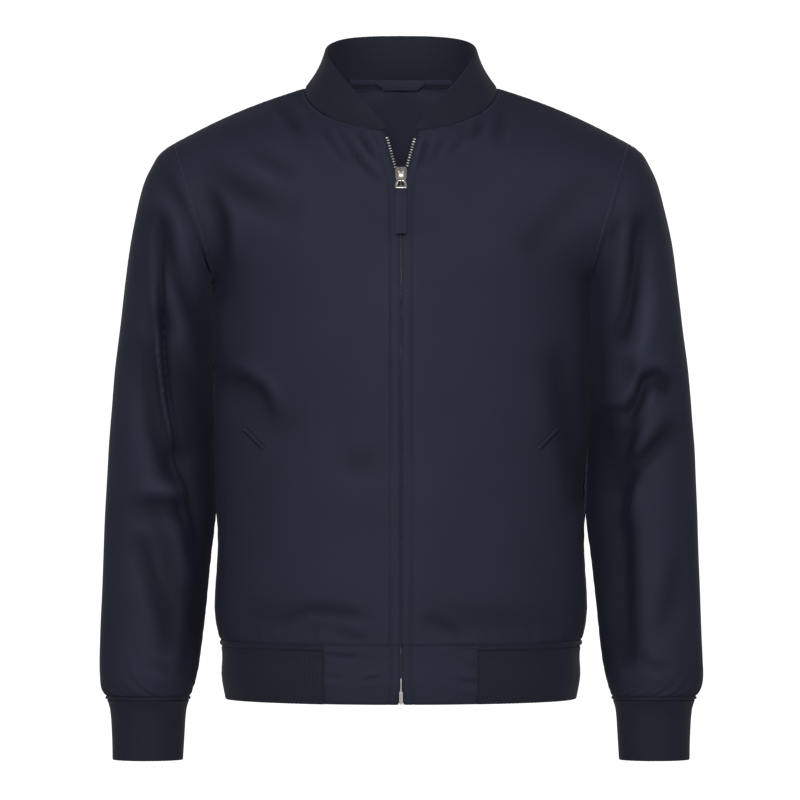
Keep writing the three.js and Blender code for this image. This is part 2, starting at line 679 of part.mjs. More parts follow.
// Ribbed hem: below the fronts and the back, from one centre part to the other
function hemSeam() {
  const front = (side) => panelShares().slice(HEM_PANEL_COLUMNS).map((share) => bodyPoint(side, -1, 0, share));
  const half = (side) => backRows(side)[0];
  const leftBack = half(1).reverse().slice(1);
  const rightBack = half(-1).slice(1);
  return [...front(1), ...leftBack, ...rightBack, ...front(-1).reverse().slice(1)];
}
const hemRows = HEM_STEPS.map((down) => hemSeam().map((point) => hemPoint(point, down)));
const hemRib = makeShell('hem_rib', RIB_WALL, [{ rows: hemRows, flip: true }]);

// Ribbed collar: from the left front end round the back to the right front end
function collarStations() {
  const stations = [];
  const last = 2 * NECK_ROWS;
  for (let step = 0; step <= last; step += 1) {
    const isFront = step <= NECK_ROWS;
    const share = isFront ? step / NECK_ROWS : (step - NECK_ROWS) / NECK_ROWS;
    const angle = isFront ? FRONT_NECK_END * (1 - share) : 90 * share;
    const base = neckPoint(1, isFront ? -1 : 1, angle);
    const read = (column) => readTable(COLLAR_EDGE, 'along', column, step / NECK_ROWS);
    stations.push({ base, edge: new THREE.Vector3(read('x'), read('y'), read('z')) });
  }
  const mirror = (point) => new THREE.Vector3(-point.x, point.y, point.z);
  const right = stations.slice(0, -1).reverse().map(({ base, edge }) => ({ base: mirror(base), edge: mirror(edge) }));
  return [...stations, ...right];
}
function collarRow(share) {
  return collarStations().map(({ base, edge }) => {
    const point = base.clone().lerp(edge, share);
    const width = Math.min(1, base.distanceTo(edge) / COLLAR_FULL_WIDTH);
    const out = new THREE.Vector3(point.x, point.y, 0).normalize();
    return point.addScaledVector(out, COLLAR_ROLL * width * Math.sin(Math.PI * share));
  });
}
const collar = makeShell('collar', RIB_WALL, [{ rows: [0, 0.5, 1].map(collarRow), flip: false }]);

const shells = [...fronts.values(), back, ...sleeves.values(), ...cuffs.values(), hemRib, collar];
shells.forEach(fitShell);

// A narrow strip on its own points: fitted after the panels it lies on
function stripGeometry(name, wall, rows, flip) {
  const strip = makeShell(name, wall, [{ rows, flip }]);
  fitShell(strip);
  return wallGeometry(strip);
}

// Zip tape under a front edge
function tapeRows(side) {
  const front = fronts.get(side);
  const top = HEM_STEPS.length - 1 + LOWER_ROWS + CENTRE_ROWS;
  const rows = [];
  for (let row = 0; row <= top; row += 1) {
    const place = THREE.MathUtils.clamp(row, TAPE_END_SHORT / 2, top - TAPE_END_SHORT);
    const edge = pointOnPatch(front, place, 0, -TAPE_GAP);
    const next = pointOnPatch(front, place, 1, -TAPE_GAP);
    const inside = edge.clone().lerp(next, TAPE_WIDTH / edge.distanceTo(next));
    edge.x -= side * TAPE_OVERHANG;
    rows.push([edge, inside]);
  }
  return rows;
}

// Pocket welt on a front, from its points
function weltRows(side) {
  const front = fronts.get(side);
  const rows = [];
  for (const across of [-0.5, 0.5]) {
    const row = [];
    for (const along of [0, 1 / 3, 2 / 3, 1]) {
      const x = lerp(WELT.innerX, WELT.outerX, along) + across * WELT.width * Math.SQRT1_2;
      const z = lerp(WELT.innerZ, WELT.outerZ, along) - across * WELT.width * Math.SQRT1_2;
      const place = findOnPatch(front, side * x, z);
      row.push(pointOnPatch(front, place.row, place.column, WELT.gap + TRIM_WALL));
    }
    rows.push(row);
  }
  return rows;
}

// Inside face of the back neck at a half width and height
function backNeckInside(x, z, inset) {
  const angle = Math.acos(x / NECK_HALF_WIDTH);
  const lean = z > 0 ? -TAPE_LEAN.above * z : -TAPE_LEAN.below * z;
  const y = NECK_BACK_REACH * Math.sin(angle) - RIB_WALL - inset + lean;
  return new THREE.Vector3(x, y, z);
}
function neckTapeRows() {
  const rows = [];
  for (const z of [NECK_TAPE.low, NECK_TAPE.high]) {
    const row = [];
    for (let step = -4; step <= 4; step += 1) {
      row.push(backNeckInside((NECK_TAPE.half * step) / 4, z, NECK_TAPE.inset));
    }
    rows.push(row);
  }
  return rows;
}
function hangerTabRows() {
  const inset = NECK_TAPE.inset + TRIM_WALL + LAID_GAP + HANGER_TAB.stand;
  const rows = [];
  for (const share of [0, 0.5, 1]) {
    const z = lerp(HANGER_TAB.top, HANGER_TAB.bottom, share);
    const half = lerp(HANGER_TAB.topHalf, HANGER_TAB.bottomHalf, share);
    const row = [];
    for (let step = -2; step <= 2; step += 1) {
      const point = backNeckInside((half * step) / 2, 0, inset);
      point.z = z;
      row.push(point);
    }
    rows.push(row);
  }
  return rows;
}

// Solids cut and joined from closed geometries
function toSolid(geometry) {
  const bare = geometry.index ? geometry.toNonIndexed() : geometry.clone();
  bare.deleteAttribute('normal');
  bare.deleteAttribute('uv');
  const merged = mergeVertices(bare, 1e-4);
  return new wasm.Manifold(
    new wasm.Mesh({
      numProp: 3,
      vertProperties: new Float32Array(merged.attributes.position.array),
      triVerts: new Uint32Array(merged.index.array),
    }),
  );
}
function fromSolid(solid) {
  const { vertProperties, triVerts } = solid.getMesh();
  const geometry = new THREE.BufferGeometry();
  geometry.setAttribute('position', new THREE.BufferAttribute(new Float32Array(vertProperties), 3));
  geometry.setIndex(new THREE.BufferAttribute(new Uint32Array(triVerts), 1));
  geometry.computeVertexNormals();
  return geometry;
}
function box(sizeX, sizeY, sizeZ, x, y, z) {
  return new THREE.BoxGeometry(sizeX, sizeY, sizeZ).translate(x, y, z);
}

// Plate with an outline in the front view and a thickness along Y, its middle at a given depth
function plate(outline, holes, thick, middle) {
  const shape = new THREE.Shape(outline);
  for (const hole of holes) shape.holes.push(new THREE.Path(hole));
  const geometry = new THREE.ExtrudeGeometry(shape, { depth: thick, bevelEnabled: false });
  return geometry.rotateX(Math.PI / 2).translate(0, middle + thick / 2, 0);
}
function rectangle(half, bottom, top) {
  return [
    new THREE.Vector2(-half, bottom),
    new THREE.Vector2(half, bottom),
    new THREE.Vector2(half, top),
    new THREE.Vector2(-half, top),
  ];
}

const SLIDER_FACE = -(SLIDER.gap + SLIDER.thick);
const HINGE_DEPTH = SLIDER_FACE - PULL_CLEARANCE - PULL_THICK / 2;

// Slider: a tapered plate with an arch for the pull and a neck that reaches in between the tapes
function sliderGeometry() {
  const outline = [
    new THREE.Vector2(-SLIDER.bottomHalf, SLIDER.bottom),
    new THREE.Vector2(SLIDER.bottomHalf, SLIDER.bottom),
    new THREE.Vector2(SLIDER.topHalf, SLIDER.top - SLIDER_CORNER.high),
    new THREE.Vector2(SLIDER.topHalf - SLIDER_CORNER.wide, SLIDER.top),
    new THREE.Vector2(-SLIDER.topHalf + SLIDER_CORNER.wide, SLIDER.top),
    new THREE.Vector2(-SLIDER.topHalf, SLIDER.top - SLIDER_CORNER.high),
  ];
  const body = toSolid(plate(outline, [], SLIDER.thick, -SLIDER.gap - SLIDER.thick / 2));
  const archInside = HINGE_DEPTH - PULL_THICK / 2 - ARCH.clearance;
  const archTop = archInside - ARCH.thick;
  const foot = SLIDER_FACE + JOIN_OVERLAP;
  const arch = toSolid(box(2 * ARCH.half, foot - archTop, 2 * ARCH.reach, 0, (foot + archTop) / 2, 0));
  const under = SLIDER_FACE - archInside;
  const opening = toSolid(box(4 * ARCH.half, under, 2 * ARCH.inside, 0, SLIDER_FACE - under / 2, 0));
  const neck = toSolid(box(SLIDER_NECK.wide, SLIDER_NECK.deep, SLIDER_NECK.high, 0, SLIDER_NECK.middle, 0));
  return fromSolid(body.add(arch.subtract(opening)).add(neck));
}

// Pull: a plate with an eye round the arch and a slot that holds the cloth tab
function pullGeometry() {
  const right = PULL_OUTLINE.map(({ z, half }) => new THREE.Vector2(half, z));
  const left = PULL_OUTLINE.map(({ z, half }) => new THREE.Vector2(-half, z)).reverse();
  const holes = [PULL_EYE, PULL_LOOP].map(({ half, bottom, top }) => rectangle(half, bottom, top));
  return plate([...right, ...left], holes, PULL_THICK, HINGE_DEPTH);
}

// Cloth tab, doubled round the bar below the slot
function tabGeometry() {
  const bar = PULL_THICK / 2 + TAB.gap;
  const outside = bar + TAB.ply;
  const barTop = PULL_LOOP.bottom + TAB.gap;
  const barBottom = PULL_OUTLINE[PULL_OUTLINE.length - 1].z - TAB.gap;
  const top = barTop + TAB.ply;
  const taperTop = barBottom - TAB_LOOP.below;
  const half = TAB.thick / 2;
  const side = [
    new THREE.Vector2(-outside + TAB_LOOP.corner, top),
    new THREE.Vector2(outside - TAB_LOOP.corner, top),
    new THREE.Vector2(outside, top - TAB_LOOP.ease),
    new THREE.Vector2(outside, taperTop),
    new THREE.Vector2(half, taperTop - TAB_LOOP.taper),
    new THREE.Vector2(half, -TAB.length),
    new THREE.Vector2(-half, -TAB.length),
    new THREE.Vector2(-half, taperTop - TAB_LOOP.taper),
    new THREE.Vector2(-outside, taperTop),
    new THREE.Vector2(-outside, top - TAB_LOOP.ease),
  ];
  const shape = new THREE.Shape(side);
  shape.holes.push(new THREE.Path(rectangle(bar, barBottom, barTop)));
  const strip = new THREE.ExtrudeGeometry(shape, { depth: TAB.width, bevelEnabled: false });
  strip.translate(0, 0, -TAB.width / 2).rotateX(Math.PI / 2).rotateZ(Math.PI / 2);
  let solid = toSolid(strip.translate(0, HINGE_DEPTH, 0));
  const bottom = barBottom - TAB_LOOP.shoulder;
  for (const side of SIDES) {
    const x = side * (TAB.loopWidth + TAB_LOOP.clear) / 2;
    const height = top + 1 - bottom;
    solid = solid.subtract(toSolid(box(TAB_LOOP.clear, TAB_LOOP.clear, height, x, HINGE_DEPTH, bottom + height / 2)));
  }
  return fromSolid(solid);
}

// Retainer and pin at the foot of the zip
function retainerGeometry() {
  const { half, bottom, top, pinHalf, pinTop, thick } = RETAINER;
  const outline = [
    new THREE.Vector2(-half, bottom - top),
    new THREE.Vector2(half, bottom - top),
    new THREE.Vector2(half, 0),
    new THREE.Vector2(pinHalf, 2),
    new THREE.Vector2(pinHalf, pinTop - top),
    new THREE.Vector2(-pinHalf, pinTop - top),
    new THREE.Vector2(-pinHalf, 2),
    new THREE.Vector2(-half, 0),
  ];
  return plate(outline, [], thick, thick / 2 - RETAINER.proud);
}

// A group that lies on the centre front at a height, leaning as the front does there
function onCentreFront(z, reach) {
  const depth = (height) => readTable(FRONT_PROFILE, 'z', 'y', height);
  const group = new THREE.Group();
  group.position.set(0, depth(z), z);
  group.rotation.x = -Math.atan2(depth(z + reach) - depth(z - reach), 2 * reach);
  return group;
}

const jacket = new THREE.Group();
for (const side of SIDES) {
  const word = sideName(side);
  jacket.add(makeMesh(`front_${word}`, wallGeometry(fronts.get(side)), 'shell'));
  jacket.add(makeMesh(`sleeve_${word}`, wallGeometry(sleeves.get(side)), 'shell'));
  jacket.add(makeMesh(`cuff_${word}`, ribbedGeometry(cuffs.get(side)), 'rib'));
  const tape = stripGeometry(`zip_tape_${word}`, TRIM_WALL, tapeRows(side), side < 0);
  jacket.add(makeMesh(`zip_tape_${word}`, tape, 'tape'));
  const welt = stripGeometry(`pocket_welt_${word}`, TRIM_WALL, weltRows(side), side > 0);
  jacket.add(makeMesh(`pocket_welt_${word}`, welt, 'shell'));
}
jacket.add(makeMesh('back', wallGeometry(back), 'shell'));
jacket.add(makeMesh('hem_rib', ribbedGeometry(hemRib), 'rib'));
jacket.add(makeMesh('collar', ribbedGeometry(collar), 'rib'));
jacket.add(makeMesh('neck_tape', stripGeometry('neck_tape', TRIM_WALL, neckTapeRows(), false), 'tape'));
jacket.add(makeMesh('hanger_tab', stripGeometry('hanger_tab', TRIM_WALL, hangerTabRows(), true), 'shell'));

const slider = onCentreFront(SLIDER_HEIGHT, 10);
slider.add(makeMesh('zip_slider', sliderGeometry(), 'metal'));
slider.add(makeMesh('zip_pull', pullGeometry(), 'metal'));
slider.add(makeMesh('pull_tab', tabGeometry(), 'shell'));
jacket.add(slider);

const retainer = onCentreFront(RETAINER.top, 12);
retainer.add(makeMesh('zip_retainer', retainerGeometry(), 'metal'));
jacket.add(retainer);

export default jacket;
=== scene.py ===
# A bomber jacket, dressed over its fixed frame. Tables are in millimetres and MM turns them into metres.
import json
import logging
import math
from dataclasses import dataclass, field
from enum import Enum

import bpy
import numpy as np
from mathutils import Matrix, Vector, noise

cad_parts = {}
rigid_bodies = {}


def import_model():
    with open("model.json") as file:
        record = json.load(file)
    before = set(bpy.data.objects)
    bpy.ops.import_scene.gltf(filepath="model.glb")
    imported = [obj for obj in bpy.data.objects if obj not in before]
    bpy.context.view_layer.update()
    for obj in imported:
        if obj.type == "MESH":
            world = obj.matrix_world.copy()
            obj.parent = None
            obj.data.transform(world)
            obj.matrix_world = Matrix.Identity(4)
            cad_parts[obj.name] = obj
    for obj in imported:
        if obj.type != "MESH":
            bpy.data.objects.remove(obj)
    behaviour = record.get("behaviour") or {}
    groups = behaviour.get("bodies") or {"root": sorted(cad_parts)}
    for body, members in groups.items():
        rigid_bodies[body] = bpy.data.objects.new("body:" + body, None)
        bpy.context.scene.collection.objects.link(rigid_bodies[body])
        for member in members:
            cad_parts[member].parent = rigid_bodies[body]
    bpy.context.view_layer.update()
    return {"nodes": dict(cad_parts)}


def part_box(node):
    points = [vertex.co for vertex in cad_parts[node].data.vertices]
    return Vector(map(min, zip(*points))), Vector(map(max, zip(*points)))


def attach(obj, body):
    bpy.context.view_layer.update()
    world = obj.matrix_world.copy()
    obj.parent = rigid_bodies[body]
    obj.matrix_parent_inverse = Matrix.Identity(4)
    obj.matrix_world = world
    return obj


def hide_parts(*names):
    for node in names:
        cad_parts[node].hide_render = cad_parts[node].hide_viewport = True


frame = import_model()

MM = 0.001
Array, Piece, Material, Socket = np.ndarray, bpy.types.Object, bpy.types.Material, bpy.types.NodeSocket
log = logging.getLogger("jacket")


class Side(Enum):
    """The wearer's side: left is at +X."""

    LEFT = 1
    RIGHT = -1


class Face(Enum):
    """Which way a panel faces: the front is towards -Y."""

    FRONT = -1
    BACK = 1


LEFT, RIGHT = Side.LEFT, Side.RIGHT
FRONT, BACK = Face.FRONT, Face.BACK
SIDE_WORDS = {LEFT: "left", RIGHT: "right"}


def lerp(start: Array | float, end: Array | float, share: Array | float) -> Array:
    """Value a share of the way from start to end."""
    return start + (end - start) * share


def unit(vectors: Array) -> Array:
    """Vectors made one metre long."""
    return vectors / np.maximum(np.linalg.norm(vectors, axis=-1, keepdims=True), 1e-12)


def ripple(place: Array, pitch: float, seed: float) -> Array:
    """Uneven waves along a line."""
    turn = 2 * math.pi * place / pitch
    waves = np.sin(turn + seed) + 0.7 * np.sin(0.63 * turn + 2.1 * seed)
    return (waves + 0.5 * np.sin(1.71 * turn + 3.7 * seed)) / 1.8


def drift(points: Array, size: float, seed: float) -> Array:
    """Soft noise at each point."""
    flat = points.reshape(-1, 3) / size + seed
    values = [noise.noise(Vector(place)) for place in flat.tolist()]
    return np.array(values).reshape(points.shape[:-1])


@dataclass(frozen=True)
class Profile:
    """A smooth curve through a table of places and values, in millimetres."""

    places: tuple[float, ...]
    values: tuple[float, ...]

    def at(self, place: Array) -> Array:
        """Reads the curve.

        Args:
            place: Places, in the table's own unit.

        Returns:
            The values there.
        """
        places, values = np.array(self.places, float), np.array(self.values, float)
        if places[0] > places[-1]:
            places, values = places[::-1], values[::-1]
        place = np.clip(place, places[0], places[-1])
        row = np.clip(np.searchsorted(places, place) - 1, 0, len(places) - 2)
        before, after = np.maximum(row - 1, 0), np.minimum(row + 2, len(places) - 1)
        span = places[row + 1] - places[row]
        share = (place - places[row]) / span
        start = (values[row + 1] - values[before]) / (places[row + 1] - places[before]) * span
        end = (values[after] - values[row]) / (places[after] - places[row]) * span
        square, cube = share**2, share**3
        return (
            (2 * cube - 3 * square + 1) * values[row]
            + (cube - 2 * square + share) * start
            + (3 * square - 2 * cube) * values[row + 1]
            + (cube - square) * end
        )


# Ridge beside a crease: how far off it stands and how wide it is, as shares of the crease's width
LIP_PLACE = 1.75
LIP_WIDTH = 0.95


@dataclass(frozen=True)
class Crease:
    """A soft trough pressed into the cloth along a line of the front or back view, in millimetres.

    A negative depth stands proud. The lips are the ridges on both sides of the line, as shares of the depth.
    """

    side: Side
    face: Face
    width: float
    depth: float
    lips: tuple[float, float]
    route: tuple[tuple[float, float], ...]
    tapered: bool = True

    def lift(self, points: Array) -> Array:
        """How far the cloth moves out at points.

        Args:
            points: Points of the cloth in millimetres, with x, y and z last.

        Returns:
            The movement in millimetres, negative where the cloth goes in.
        """
        route = np.array(self.route, float)
        steps = np.linalg.norm(np.diff(route, axis=0), axis=1)
        starts = np.concatenate([[0], np.cumsum(steps)]) / steps.sum()
        best = np.full(points.shape[:-1], np.inf)
        signed, along = np.zeros_like(best), np.zeros_like(best)
        for index, step in enumerate(steps):
            run = (route[index + 1] - route[index]) / step
            away = points[..., [0, 2]] - route[index]
            reach = np.clip(away @ run, 0, step)
            off = away - reach[..., None] * run
            distance = np.linalg.norm(off, axis=-1)
            closer = distance < best
            best = np.where(closer, distance, best)
            turned = np.sign(run[0] * away[..., 1] - run[1] * away[..., 0])
            signed = np.where(closer, distance * turned, signed)
            along = np.where(closer, lerp(starts[index], starts[index + 1], reach / step), along)
        across = signed / self.width
        taper = np.sin(math.pi * (0.06 + 0.88 * along)) ** 0.7 if self.tapered else 1.0
        left, right = self.lips
        shape = -np.exp(-(across**2))
        shape = shape + left * np.exp(-(((across - LIP_PLACE) / LIP_WIDTH) ** 2))
        shape = shape + right * np.exp(-(((across + LIP_PLACE) / LIP_WIDTH) ** 2))
        return self.depth * taper * shape


def creases_of(side: Side, face: Face, *rows: tuple[float, ...], tapered: bool = True) -> tuple[Crease, ...]:
    """Creases of one face."""
    return tuple(
        Crease(side, face, *row[:2], row[2:4], tuple(zip(row[4::2], row[5::2])), tapered) for row in rows
    )


# Largest folds, where the frame's solids have theirs, some of them shallower here
LARGE_SLEEVE_FOLDS = (
    *creases_of(
        RIGHT, FRONT,
        (17, 6, 0, 0, -254, -150, -251, -250),
        (17, 7.5, 0, 0, -251, -250, -226, -388),
        (16, 6, 0, 0, -226, -388, -208, -478),
        (15, 4, 0, 0, -271, -275, -243, -400),
        (14, 4, 0, 0, -278, -441, -228, -446),
        (17, 5, 0, 0, -270, -485, -238, -580),
        tapered=False,
    ),
    *creases_of(
        RIGHT, BACK,
        (18, 6, 0, 0, -285, -180, -232, -300),
        (17, 6, 0, 0, -300, -400, -222, -470),
        (17, 5, 0, 0, -290, -560, -232, -520),
        tapered=False,
    ),
    *creases_of(
        LEFT, FRONT,
        (17, 6, 0, 0, 253, -144, 228, -254),
        (14, 6, 0, 0, 240, -300, 279, -312),
        (16, 5.5, 0, 0, 243, -318, 229, -400),
        (15, 5, 0, 0, 284, -360, 251, -412),
        (17, 5.5, 0, 0, 229, -430, 233, -590),
        tapered=False,
    ),
    *creases_of(
        LEFT, BACK,
        (18, 6, 0, 0, 285, -190, 230, -290),
        (17, 6, 0, 0, 225, -400, 298, -450),
        (17, 5, 0, 0, 235, -560, 290, -590),
        tapered=False,
    ),
)
LARGE_BODY_FOLDS = (
    *creases_of(
        RIGHT, FRONT,
        (18, 4, 0, 0, -195, -90, -120, -130),
        (17, 4.5, 0, 0, -198, -120, -186, -215),
        (18, 5, 0, 0, -188, -300, -132, -352),
        (17, 3.5, 0, 0, -150, -552, -60, -556),
        tapered=False,
    ),
    *creases_of(
        LEFT, FRONT,
        (18, 5, 0, 0, 167, -290, 188, -430),
        (17, 2.5, 0, 0, 40, -556, 150, -560),
        (17, 3.5, 0, 0, 195, -105, 140, -165),
        tapered=False,
    ),
    *creases_of(
        RIGHT, BACK,
        (20, 5, 0, 0, -180, -330, -60, -372),
        (18, 5, 0, 0, -170, -552, -70, -545),
        tapered=False,
    ),
    *creases_of(
        LEFT, BACK,
        (20, 5, 0, 0, 182, -350, 70, -392),
        (18, 5, 0, 0, 165, -548, 40, -556),
        tapered=False,
    ),
)

# Smaller creases, read off the front, and others like them on the sides that it doesn't show
SLEEVE_CREASES = (
    *creases_of(
        RIGHT, FRONT,
        (9, 2.6, 0.3, 0.2, -245.3, -90.6, -231.8, -114.5, -219.3, -135.3, -208.9, -156.1),
        (4.6, 3.4, 0.1, 0.8,
         -255.5, -151.2, -252.2, -197.9, -250.1, -244.6, -244.9, -286.1, -237.6, -327.6, -229.3, -358.7,
         -221, -389.9, -211.7, -431.4, -203.4, -476),
        (16, 3.6, 0.1, 0.0, -226, -286, -216, -350, -208, -420, -203, -484),
        (12, 2.4, 0.3, 0.3, -267.7, -275.7, -262.6, -317.2, -258.4, -348.4, -250.1, -379.5, -239.7, -400.2),
        (9, 2.2, 0.6, 0.1, -272.9, -435.5, -260.5, -434.5, -244.9, -435.5, -222.1, -440.7),
        (12, 2.6, 0.3, 0.3, -258.4, -446.9, -244.9, -478.1, -234.5, -514.4, -224.2, -561.1),
        (11, 3.0, 0.1, 0.4, -214.8, -472.9, -210.7, -509.2, -209.6, -545.5, -212.7, -587),
        (9, 1.6, 0.3, 0.5, -270.9, -472.9, -260.5, -509.2, -250.1, -535.1, -234.5, -576.7),
        (10, 2.6, 0.4, 0.3, -250.5, -140.5, -242.2, -171.7, -229.7, -197.7, -214.1, -239.2, -204.8, -275.6),
        (6, 1.2, 0.4, 0.3, -260.5, -601.6, -248, -605.7, -233.5, -608.8),
        (7, 1.3, 0.3, 0.3, -219, -576.7, -222.1, -597.4, -228.3, -618.2),
    ),
    *creases_of(
        LEFT, FRONT,
        (8, 2.2, 0.3, 0.3, 225.6, -135.3, 220.4, -148.8, 215.2, -164.4),
        (9, 2.6, 0.4, 0.4, 250.5, -145.7, 245.3, -184.1, 234.9, -228.8, 224.5, -260),
        (9, -2.6, 0, 0, 264.6, -208.3, 259.4, -239.4, 253.2, -265.3, 245.9, -291.3, 239.7, -317.2),
        (7, 4.0, 0.5, 0.3,
         212.7, -341.1, 232.5, -342.1, 245.9, -327.6, 255.3, -308.9, 267.7, -302.7, 278.1, -311),
        (9, 3.6, 0.4, 0.4, 279.2, -360.8, 263.6, -375.3, 248, -391.9, 233.5, -410.6, 224.2, -433.5),
        (10, 3.0, 0.2, 0.2, 206.9, -346.3, 208.9, -390, 211, -431.6, 213.1, -478.3),
        (21, 4.2, 0.0, 0.3, 208, -338, 211, -392, 215, -452, 218, -520),
        (12, 4.0, 0.3, 0.1, 242, -347, 230, -374, 219, -412, 212, -456),
        (11, 2.4, 0.2, 0.4, 224.2, -421, 225.2, -472.9, 227.3, -535.1, 229.3, -592.2),
        (12, 1.8, 0.3, 0.3, 291.6, -488.5, 282.3, -535.1, 268.8, -568.4),
        (6, 1.2, 0.3, 0.3, 248, -597.4, 263.6, -604.7, 277.1, -605.7),
    ),
    *creases_of(
        RIGHT, BACK,
        (9, 2.6, 0.5, 0.3, -283, -176, -262, -222, -240, -268, -226, -305),
        (8, 2.8, 0.3, 0.6, -296, -392, -272, -415, -246, -446, -220, -471),
        (10, 2.2, 0.4, 0.4, -246, -330, -262, -370, -281, -398),
        (8, 1.8, 0.4, 0.3, -291, -556, -262, -540, -230, -522),
        (6, 1.2, 0.3, 0.3, -272, -600, -255, -606, -238, -604),
    ),
    *creases_of(
        LEFT, BACK,
        (9, 2.6, 0.4, 0.4, 284, -184, 262, -226, 238, -262, 227, -296),
        (8, 2.8, 0.6, 0.3, 224, -398, 250, -421, 278, -438, 299, -452),
        (10, 2.0, 0.3, 0.4, 240, -322, 255, -352, 277, -378),
        (8, 1.8, 0.3, 0.4, 233, -552, 262, -576, 291, -592),
        (9, 1.8, 0.3, 0.3, 226, -470, 233, -510, 246, -545),
    ),
)
BODY_CREASES = (
    *creases_of(
        RIGHT, FRONT,
        (4.2, 2.6, 0.5, 0.5, -61.5, -50, -50.6, -66.5, -40.3, -80.9, -23.7, -98.4),
        (3.6, 2.2, 0.5, 0.4, -42, -50, -35, -62, -26, -77),
        (4.6, 1.6, 0.4, 0.4, -78, -46, -70, -60, -58, -74, -48, -83),
        (7, 1.8, 0.4, 0.3, -125.1, -19.4, -115.8, -32.8, -104.5, -49.4),
        (9, 1.7, 0.3, 0.3, -151.8, -68.4, -133.2, -79.8, -112.5, -91.2),
        (11, 1.8, 0.3, 0.3, -193.1, -88.1, -166.2, -108.7, -135.3, -127.3),
        (8, 2.6, 0.3, 0.4, -201.7, -108.3, -193.4, -122.8, -187.2, -138.3, -185.1, -162.1, -186.2, -189),
        (8, 2.6, 0.6, 0.1, -180.4, -303.9, -162.9, -308, -147.4, -318.3, -137.1, -340),
        (6.0, 1.6, 0.2, 0.7, -123.2, -556, -108, -548, -94, -543, -76, -544, -54, -547, -37, -552),
        (5, 1.3, 0.4, 0.3, -66, -566, -52, -569, -38, -573),
        (12, 1.6, 0.3, 0.3, -59.5, -388.2, -44.1, -393.3, -25.7, -390.2),
        (4, 0.7, 0.3, 0.3, -22.6, -290.7, -9.2, -291.7, 7.2, -290.7),
        (3, 1.6, 0.4, 0.2, -76.5, -590.2, -62.6, -592.3, -46.2, -593.3),
        (3, 1.4, 0.4, 0.2, -38, -615.9, -29.7, -614.8, -21.5, -612.8),
        (3, 1.4, 0.4, 0.2, -76.5, -612.8, -68.7, -613.8, -61.6, -612.8),
    ),
    *creases_of(
        LEFT, FRONT,
        (5, 1.7, 0.3, 0.5, 83.6, -35.4, 78.5, -45.7, 71.2, -56.1),
        (6, 1.5, 0.4, 0.4, 105.3, -24, 102.2, -38.5, 99.1, -57.1),
        (3.5, 2.2, 0.5, 0.5, 29.8, -54, 25.7, -66, 20.6, -81.3),
        (4.2, 1.8, 0.4, 0.4, 46, -52, 38, -64, 28, -80),
        (4.6, 1.4, 0.4, 0.4, 66, -44, 60, -58, 50, -70),
        (13, 1.0, 0.2, 0.3,
         162.9, -294.6, 166, -322.4, 169, -348.2, 174.2, -374, 182.4, -399.8, 186.6, -430.7),
        (5.5, 1.4, 0.5, 0.2, 27.7, -551.3, 46.2, -560.6, 66.7, -569.8),
        (4, 1.4, 0.4, 0.2, 81, -589.2, 71.8, -584.1, 61.6, -582),
        (4, 1.3, 0.4, 0.2, 81, -606.6, 74.9, -603.6, 68.7, -602.5),
        (4, 1.3, 0.4, 0.2, 81, -621, 70.8, -618.9, 59.5, -616.9),
    ),
    *creases_of(
        RIGHT, BACK,
        (9, 2.2, 0.5, 0.3, -182, -328, -140, -346, -100, -362, -58, -374),
        (10, 2.0, 0.3, 0.3, -196, -128, -188, -165, -189, -206),
        (8, 1.7, 0.3, 0.4, -172, -392, -128, -410, -86, -416),
        (8, 2.4, 0.2, 0.6, -168, -556, -132, -546, -98, -543, -66, -549),
    ),
    *creases_of(
        LEFT, BACK,
        (9, 2.2, 0.3, 0.5, 184, -348, 150, -366, 112, -382, 68, -394),
        (10, 2.0, 0.3, 0.3, 198, -122, 187, -160, 186, -214),
        (8, 1.6, 0.4, 0.3, 170, -300, 132, -312, 96, -314),
        (8, 2.3, 0.6, 0.2, 168, -552, 124, -547, 82, -552, 38, -560),
    ),
)


def press(points: Array, side: Side, face: Face, creases: tuple[Crease, ...]) -> Array:
    """How far a set of creases moves the cloth out."""
    own = [crease for crease in creases if crease.side is side and crease.face is face]
    return MM * sum((crease.lift(points / MM) for crease in own), np.zeros(points.shape[:-1]))


# Body: divisions of its panels, and its sizes
LOWER_ROWS = 12.0
ARM_ROWS = 12.0
CENTRE_ROWS = 6.0
ALL_ROWS = LOWER_ROWS + ARM_ROWS
HEM_PANEL_HALF = 81.0
NECK_OPENING_HALF = 18.5


